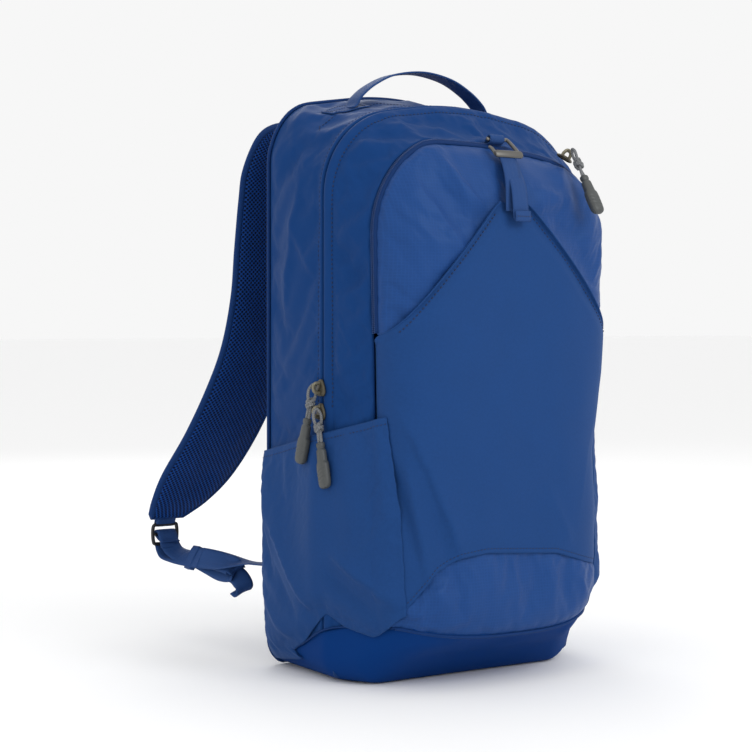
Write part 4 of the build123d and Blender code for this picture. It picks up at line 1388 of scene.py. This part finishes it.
def handle():
    """The webbing handle, whose feet blend into its two sewn tabs."""
    half = [(x, HANDLE_Y, cloth_top(-x, HANDLE_Y).z + lift) for x, lift in ((76, 1.0), (71.5, 2.6))]
    half += [(66, HANDLE_Y, 502), (52, HANDLE_Y, 513), (30, HANDLE_Y, 523.2)]
    knots = [(-x, y, z) for x, y, z in half] + [(0, HANDLE_Y, 527.6)] + half[::-1]
    centre = spline(knots, 70)
    along = direction(centre)
    side = np.tile([0.0, 1.0, 0.0], (len(centre), 1))
    out = unit(np.cross(side, along))
    web = strip("handle_webbing", centre, side, out, 20, 1.8, 9)
    piece(web, "webbing", ("pack", "handle", (0, 0.052, 0.4965), (0, 0.052, 0.5085)), "grab_handle")
    tabs, lines = [], []
    ys = np.linspace(42, 62, 9)
    for sign in (-1, 1):
        xs = sign * np.linspace(58, 97, 22)
        ground = np.array([[cloth_top(x, y) for y in ys] for x in xs])
        level = ground[..., 2].max(1, keepdims=True)
        ground[..., 2] = ground[..., 2] * 0.92 + level * 0.08 + 0.2
        tab = cloth_grid("tab", ground, outward=sign < 0)
        if tab.data.polygons[0].normal.z < 0:
            tab.data.flip_normals()
        tabs.append(freeze(modifiers(tab, 1, 1.2, 1.0)))
        top = ground + [0, 0, 1.3]
        up = np.tile([0.0, 0.0, 1.0], (len(xs), 1))
        for column in (1, 4, 7):
            lines.append((top[6:20, column], up[6:20]))
        for k in (2, 6, 20):
            lines.append((top[k, 1:8], up[:7]))
    piece(join("handle_ends", tabs), "webbing", "pack", "handle_tabs")
    stitches("handle_tab_stitches", lines, "pack", pitch=2.6, stitch=2.0, radius=0.4)


handle()

# ---------------------------------------------------------------- sliders, pulls


def frame_of(axis_up, axis_side):
    """The three axes of a part from its up direction and its side."""
    up = unit(np.array(axis_up, float))
    side = np.array(axis_side, float)
    side = unit(side - (side @ up) * up)
    return np.stack([np.cross(side, up), side, up])


def slider(name, node, body, origin, up, side):
    """A slider: a waisted top plate with a raised rim and a wire bail over the pin."""
    turn = frame_of(up, side)
    shape = [(-7, 3.2), (-6.2, 5.2), (-3, 6.4), (1, 5.6), (4.6, 3.8), (6.8, 2.4), (7.2, 0)]
    loop = [(r, s) for r, s in shape] + [(r, -s) for r, s in shape[-2::-1]]
    loop = spline([(r, s, 0) for r, s in loop + loop[:1]], 48)[:-1]
    rings = []
    for grow, height in ((0.86, 0.0), (1.0, 0.5), (1.0, 1.6), (0.9, 2.3), (0.55, 2.6), (0.05, 2.7)):
        rings.append(loop * [grow, grow, 1] + [0, 0, height])
    grid = np.stack(rings) @ turn + np.array(origin, float)
    plate = cloth_grid("plate", grid, outward=True, wrap=True)
    arch_points = spline([(-4.4, 0, 1.8), (-4.2, 0, 5.0), (-2.4, 0, 7.9), (0.8, 0, 8.6), (3.2, 0, 7.2),
                          (3.9, 0, 4.4), (4.2, 0, 1.8)], 26)
    wire = tube("bail", arch_points @ turn + np.array(origin, float), 1.15, 8, flatten=1.5,
                flat_axis=turn[1])
    piece(join(name, [plate, wire]), "zip_metal", body, node)


def pull(label, body, pin, down, across):
    """A knotted cord through the bail and its moulded grip, hanging from the pin."""
    down = unit(np.array(down, float))
    across = unit(np.array(across, float) - (np.array(across, float) @ down) * down)
    third = np.cross(down, across)
    pin = np.array(pin, float)

    def place(points):
        points = np.asarray(points, float)
        return pin + points[:, :1] * across + points[:, 1:2] * third + points[:, 2:] * down

    loop = spline([(0.9, -1.6, 12), (1.2, -3.0, 6), (0.9, -2.8, 1.0), (0.2, 0.0, -2.7), (-0.7, 2.8, 1.0),
                   (-1.2, 3.0, 6),
                   (-0.9, 1.6, 12)], 50)
    knot = [(0.2, 2.6, 9.0), (2.9, 0.2, 10.5), (0.6, -2.9, 12.2), (-2.9, -0.4, 13.4), (-0.8, 2.9, 15.0),
            (2.7, 1.0, 16.6),
            (1.2, -2.6, 15.0), (-2.4, -1.6, 11.6), (-2.0, 2.2, 9.6)]
    second = [(-0.6, -2.7, 10.2), (2.5, -1.8, 12.8), (2.3, 2.2, 14.6), (-1.8, 2.6, 12.6), (-2.6, -1.4, 14.4),
              (0.6, -2.6, 17.2)]
    strands = []
    for k, sign in enumerate((-1, 1)):
        z = np.linspace(15, 30, 26)
        twist = z / 9.0
        x = sign * 1.35 * np.cos(twist)
        yy = sign * 0.9 * np.sin(twist)
        strands.append(tube(f"strand{k}", place(np.stack([x, yy, z], 1)), 1.3, 8))
    pieces = [tube("loop", place(loop), 1.3, 8), tube("knot", place(spline(knot, 80)), 1.35, 8),
              tube("knot2", place(spline(second, 50)), 1.3, 8), *strands]
    piece(join("pull_cord_braid_" + label, pieces), "pull_cord", body, "pull_cord_" + label)
    profile = [(26.0, 1.6, 1.8), (26.6, 2.9, 3.2), (29, 3.2, 3.6), (31, 2.9, 3.3), (32.4, 3.4, 4.0),
               (38, 3.5, 4.5), (42, 3.6, 4.8),
               (44.5, 4.0, 6.0), (50, 4.2, 6.3), (56, 4.1, 6.3), (61, 3.8, 6.0), (63.6, 3.0, 4.9),
               (64.8, 1.6, 2.9), (65.0, 0.2, 0.4)]
    rows = []
    angles = np.linspace(0, 2 * math.pi, 28, endpoint=False)
    dense = spline(profile, 90)
    for z, thick, wide in dense:
        c, s = np.cos(angles), np.sin(angles)
        power = 2 / 2.9
        ring = np.stack([np.sign(c) * np.abs(c) ** power * wide, np.sign(s) * np.abs(s) ** power * thick,
                         np.full(28, z)], 1)
        flat_face = np.abs(s) > 0.6
        groove = sum(np.exp(-((z - (50 + 3.4 * k) - 0.35 * ring[:, 0]) / 0.7) ** 2) for k in range(3))
        neck = 0.35 * math.exp(-((z - 31.6) / 0.8) ** 2)
        ring[:, 1] -= np.sign(s) * flat_face * (0.55 * groove) * (wide > 5)
        ring[:, :2] *= 1 - neck * 0.4
        rows.append(ring)
    grid = np.stack([place(r) for r in rows])
    uv = table(angles[None, :] * 4, dense[:, :1])
    grip = cloth_grid("pull_grip_body_" + label, grid, uv=uv, wrap=True)
    if grip.data.polygons[40].normal.dot(Vector(grid[1, 12] - grid[1].mean(0))) < 0:
        grip.data.flip_normals()
    piece(grip, "pull_grip", body, "pull_grip_" + label)


def leaning(out_deg, back_deg):
    """The down direction of a pull that leans outwards and backwards."""
    a, b = math.radians(out_deg), math.radians(back_deg)
    return np.array([-math.sin(a), math.cos(a) * math.sin(b), -math.cos(a) * math.cos(b)])


SIDE_WALL = -half_width(0, 229)
slider("slider_lower_body", "main_slider_lower", "pack", (SIDE_WALL - 0.4, 0, 229), (-1, 0, 0), (0, 1, 0))
slider("slider_upper_body", "main_slider_upper", "slider_upper", (SIDE_WALL - 0.4, 0, 249), (-1, 0, 0),
       (0, 1, 0))
pull("lower", "pull_lower", (-142.0, -3, 229), leaning(2.5, -16), (0, 1, 0.2))
pull("upper", "pull_upper", (-142.0, 3, 249), leaning(6.5, 8), (0, 1, 0.2))
angle = math.radians(64)
arc_x, arc_z, seat = 44.52, 377.065, 76.6
front_at = (arc_x + math.cos(angle) * seat, -59, arc_z + math.sin(angle) * seat)
slider("slider_front_body", "front_slider", "slider_front", front_at,
       (math.cos(angle), -0.25, math.sin(angle)), (0, 1, 0.2))
hang = math.radians(32)
pull("front", "pull_front", (81.17, -67, 452.2), (0, -math.sin(hang), -math.cos(hang)), (1, 0, 0))

# ---------------------------------------------------------------- hook

HOOK_FRONT = np.array([3.0, -75.0, 444.0])
HOOK_REAR = np.array([3.0, -58.0, 459.0])


def faceted_bar(name, centre, half_length, up, forward, height, depth):
    """A straight metal bar along x with bevelled edges and tapered ends."""
    section = [(-0.5, -0.2), (-0.28, -0.5), (0.28, -0.5), (0.5, -0.2), (0.5, 0.3), (0.3, 0.5), (-0.3, 0.5),
               (-0.5, 0.3)]
    rows = []
    for x, share in ((-1, 0.15), (-1, 0.62), (-0.93, 0.86), (-0.85, 1), (0.85, 1), (0.93, 0.86), (1, 0.62),
                     (1, 0.15)):
        middle = np.array(centre) + np.array([x * half_length, 0, 0])
        ring = [middle + up * a * height * share + forward * b * depth * share for a, b in section]
        rows.append(ring)
    grid = np.array(rows)
    obj = cloth_grid(name, grid, outward=bool(np.cross(up, forward)[0] > 0), wrap=True)
    bevel = obj.modifiers.new("Bevel", "BEVEL")
    bevel.width = 0.35 * MM
    bevel.segments = 2
    bevel.limit_method = "ANGLE"
    return freeze(obj)


def hook():
    """The bent metal hook: a front bar in sight, two arms and the rear bar in the anchor's loop."""
    run = HOOK_REAR - HOOK_FRONT
    up = unit(np.array([0.0, 0.35, 1.0]))
    forward = unit(np.cross(np.array([1.0, 0, 0]), up))
    plate = faceted_bar("hook_plate", HOOK_FRONT + [0, -1.2, 1.2], 14.6, up, forward, 6.4, 3.0)
    arms = []
    for sign, reach in ((-1, 0.5), (1, 1.0)):
        ends = [HOOK_FRONT + [sign * 12.6, 0, 0.5], HOOK_FRONT + run * 0.3 + [sign * 12.8, 0, 1.2],
                HOOK_FRONT + run * reach + [sign * 12.6, 0, 0]]
        if sign > 0:
            ends += [HOOK_REAR + [9.6, 0.3, 0.2], HOOK_REAR + [0, 0.3, 0.2], HOOK_REAR + [-9.0, 0.3, 0.2]]
        arms.append(tube("arm", spline(ends, 30), 1.5, 8, flatten=1.25, flat_axis=(0, 0, 1)))
    piece(join("hook_bar", [plate, *arms]), "hook_metal", "hook", "g_hook")
    side = np.array([1.0, 0, 0])
    riser = spline([(-7, -95.6, 396), (-7, -95.4, 403), (-5, -92.2, 420), (-2, -84, 435),
                    (1.0, -75.2, 443.2), (2.2, -73.0, 446.8), (2.6, -74.4, 448.2), (2.6, -75.8, 446.2),
                    (2.4, -77.0, 441.0), (1.4, -83, 433), (-1.5, -94.5, 418), (-3.4, -99.8, 404),
                    (-3.6, -101.4, 390)], 120)
    web = strip("flap_webbing", riser, side, unit(np.cross(direction(riser), side)), 16, 1.2, 7)
    piece(web, "webbing", "stash_flap", "flap_strap")
    fold = spline([(-3.6, -101.6, 391), (-3.4, -103.4, 387.6), (-3.4, -104.2, 390.5), (-3.4, -103.4, 396)],
                  20)
    end = strip("flap_webbing_fold", fold, side, unit(np.cross(direction(fold), side)), 16, 1.2, 7)
    piece(end, "webbing", "stash_flap")
    tack = np.array([(x, -104.6, 391.5) for x in np.linspace(-10.5, 3.5, 6)])
    stitches("flap_webbing_tack", [(tack, np.tile([0.0, -1.0, 0.2], (6, 1)))], "stash_flap", pitch=2.2,
             stitch=1.8, radius=0.4)
    loop = spline([(3, -51.5, 456.5), (3, -54.5, 460), (3, -57.8, 462.6), (3, -60.2, 461.2),
                   (3, -60.0, 457.4), (3, -57, 455.6), (3, -53.5, 455.4)], 40)
    web = strip("hook_loop", loop, side, unit(np.cross(direction(loop), side)), 15, 1.2, 7)
    piece(web, "webbing", "lid", "hook_anchor")


hook()

# ---------------------------------------------------------------- scene


def aimed(name, data, location, look):
    """An object in the scene that looks along a direction."""
    obj = bpy.data.objects.new(name, data)
    bpy.context.scene.collection.objects.link(obj)
    obj.location = location
    obj.rotation_mode = "QUATERNION"
    obj.rotation_quaternion = look.to_track_quat("-Z", "Y")
    return obj


def area_light(name, location, target, size, power):
    """A round area light."""
    data = bpy.data.lights.new(name, "AREA")
    data.shape = "DISK"
    data.size = size
    data.energy = power
    aimed(name, data, location, Vector(target) - Vector(location))


def studio():
    """A white room of light with a floor, a key, a fill and a rim light."""
    scene = bpy.context.scene
    world = bpy.data.worlds.new("studio")
    scene.world = world
    world.use_nodes = True
    background = world.node_tree.nodes["Background"].inputs
    background["Color"].default_value = (1.0, 1.0, 1.0, 1)
    background["Strength"].default_value = 0.93
    scene.view_settings.view_transform = "Standard"
    scene.view_settings.look = "None"
    floor_mesh = bpy.data.meshes.new("floor")
    s = 30.0
    floor_mesh.from_pydata([(-s, -s, 0), (s, -s, 0), (s, s, 0), (-s, s, 0)], [], [(0, 1, 2, 3)])
    floor = bpy.data.objects.new("floor", floor_mesh)
    scene.collection.objects.link(floor)
    floor_mesh.materials.append(Graph("studio_floor", (0.97, 0.97, 0.97), 0.9).material)
    area_light("key", (0.5, -1.9, 1.5), (0, 0, 0.25), 1.1, 15)
    area_light("fill", (-1.9, -0.8, 0.9), (0, 0, 0.25), 1.2, 3)
    area_light("rim", (0.6, 1.8, 1.5), (0, 0, 0.3), 1.2, 8)


def camera():
    """The camera: front left, almost level."""
    azimuth, elevation, distance = math.radians(-33.9), math.radians(1.7), 1.517
    target = Vector((-0.0805, 0, 0.258))
    back = Vector((math.sin(azimuth) * math.cos(elevation), -math.cos(azimuth) * math.cos(elevation),
                   math.sin(elevation)))
    data = bpy.data.cameras.new("camera")
    data.lens = 85
    data.sensor_width = 36
    bpy.context.scene.camera = aimed("camera", data, target + back * distance, -back)


studio()
camera()
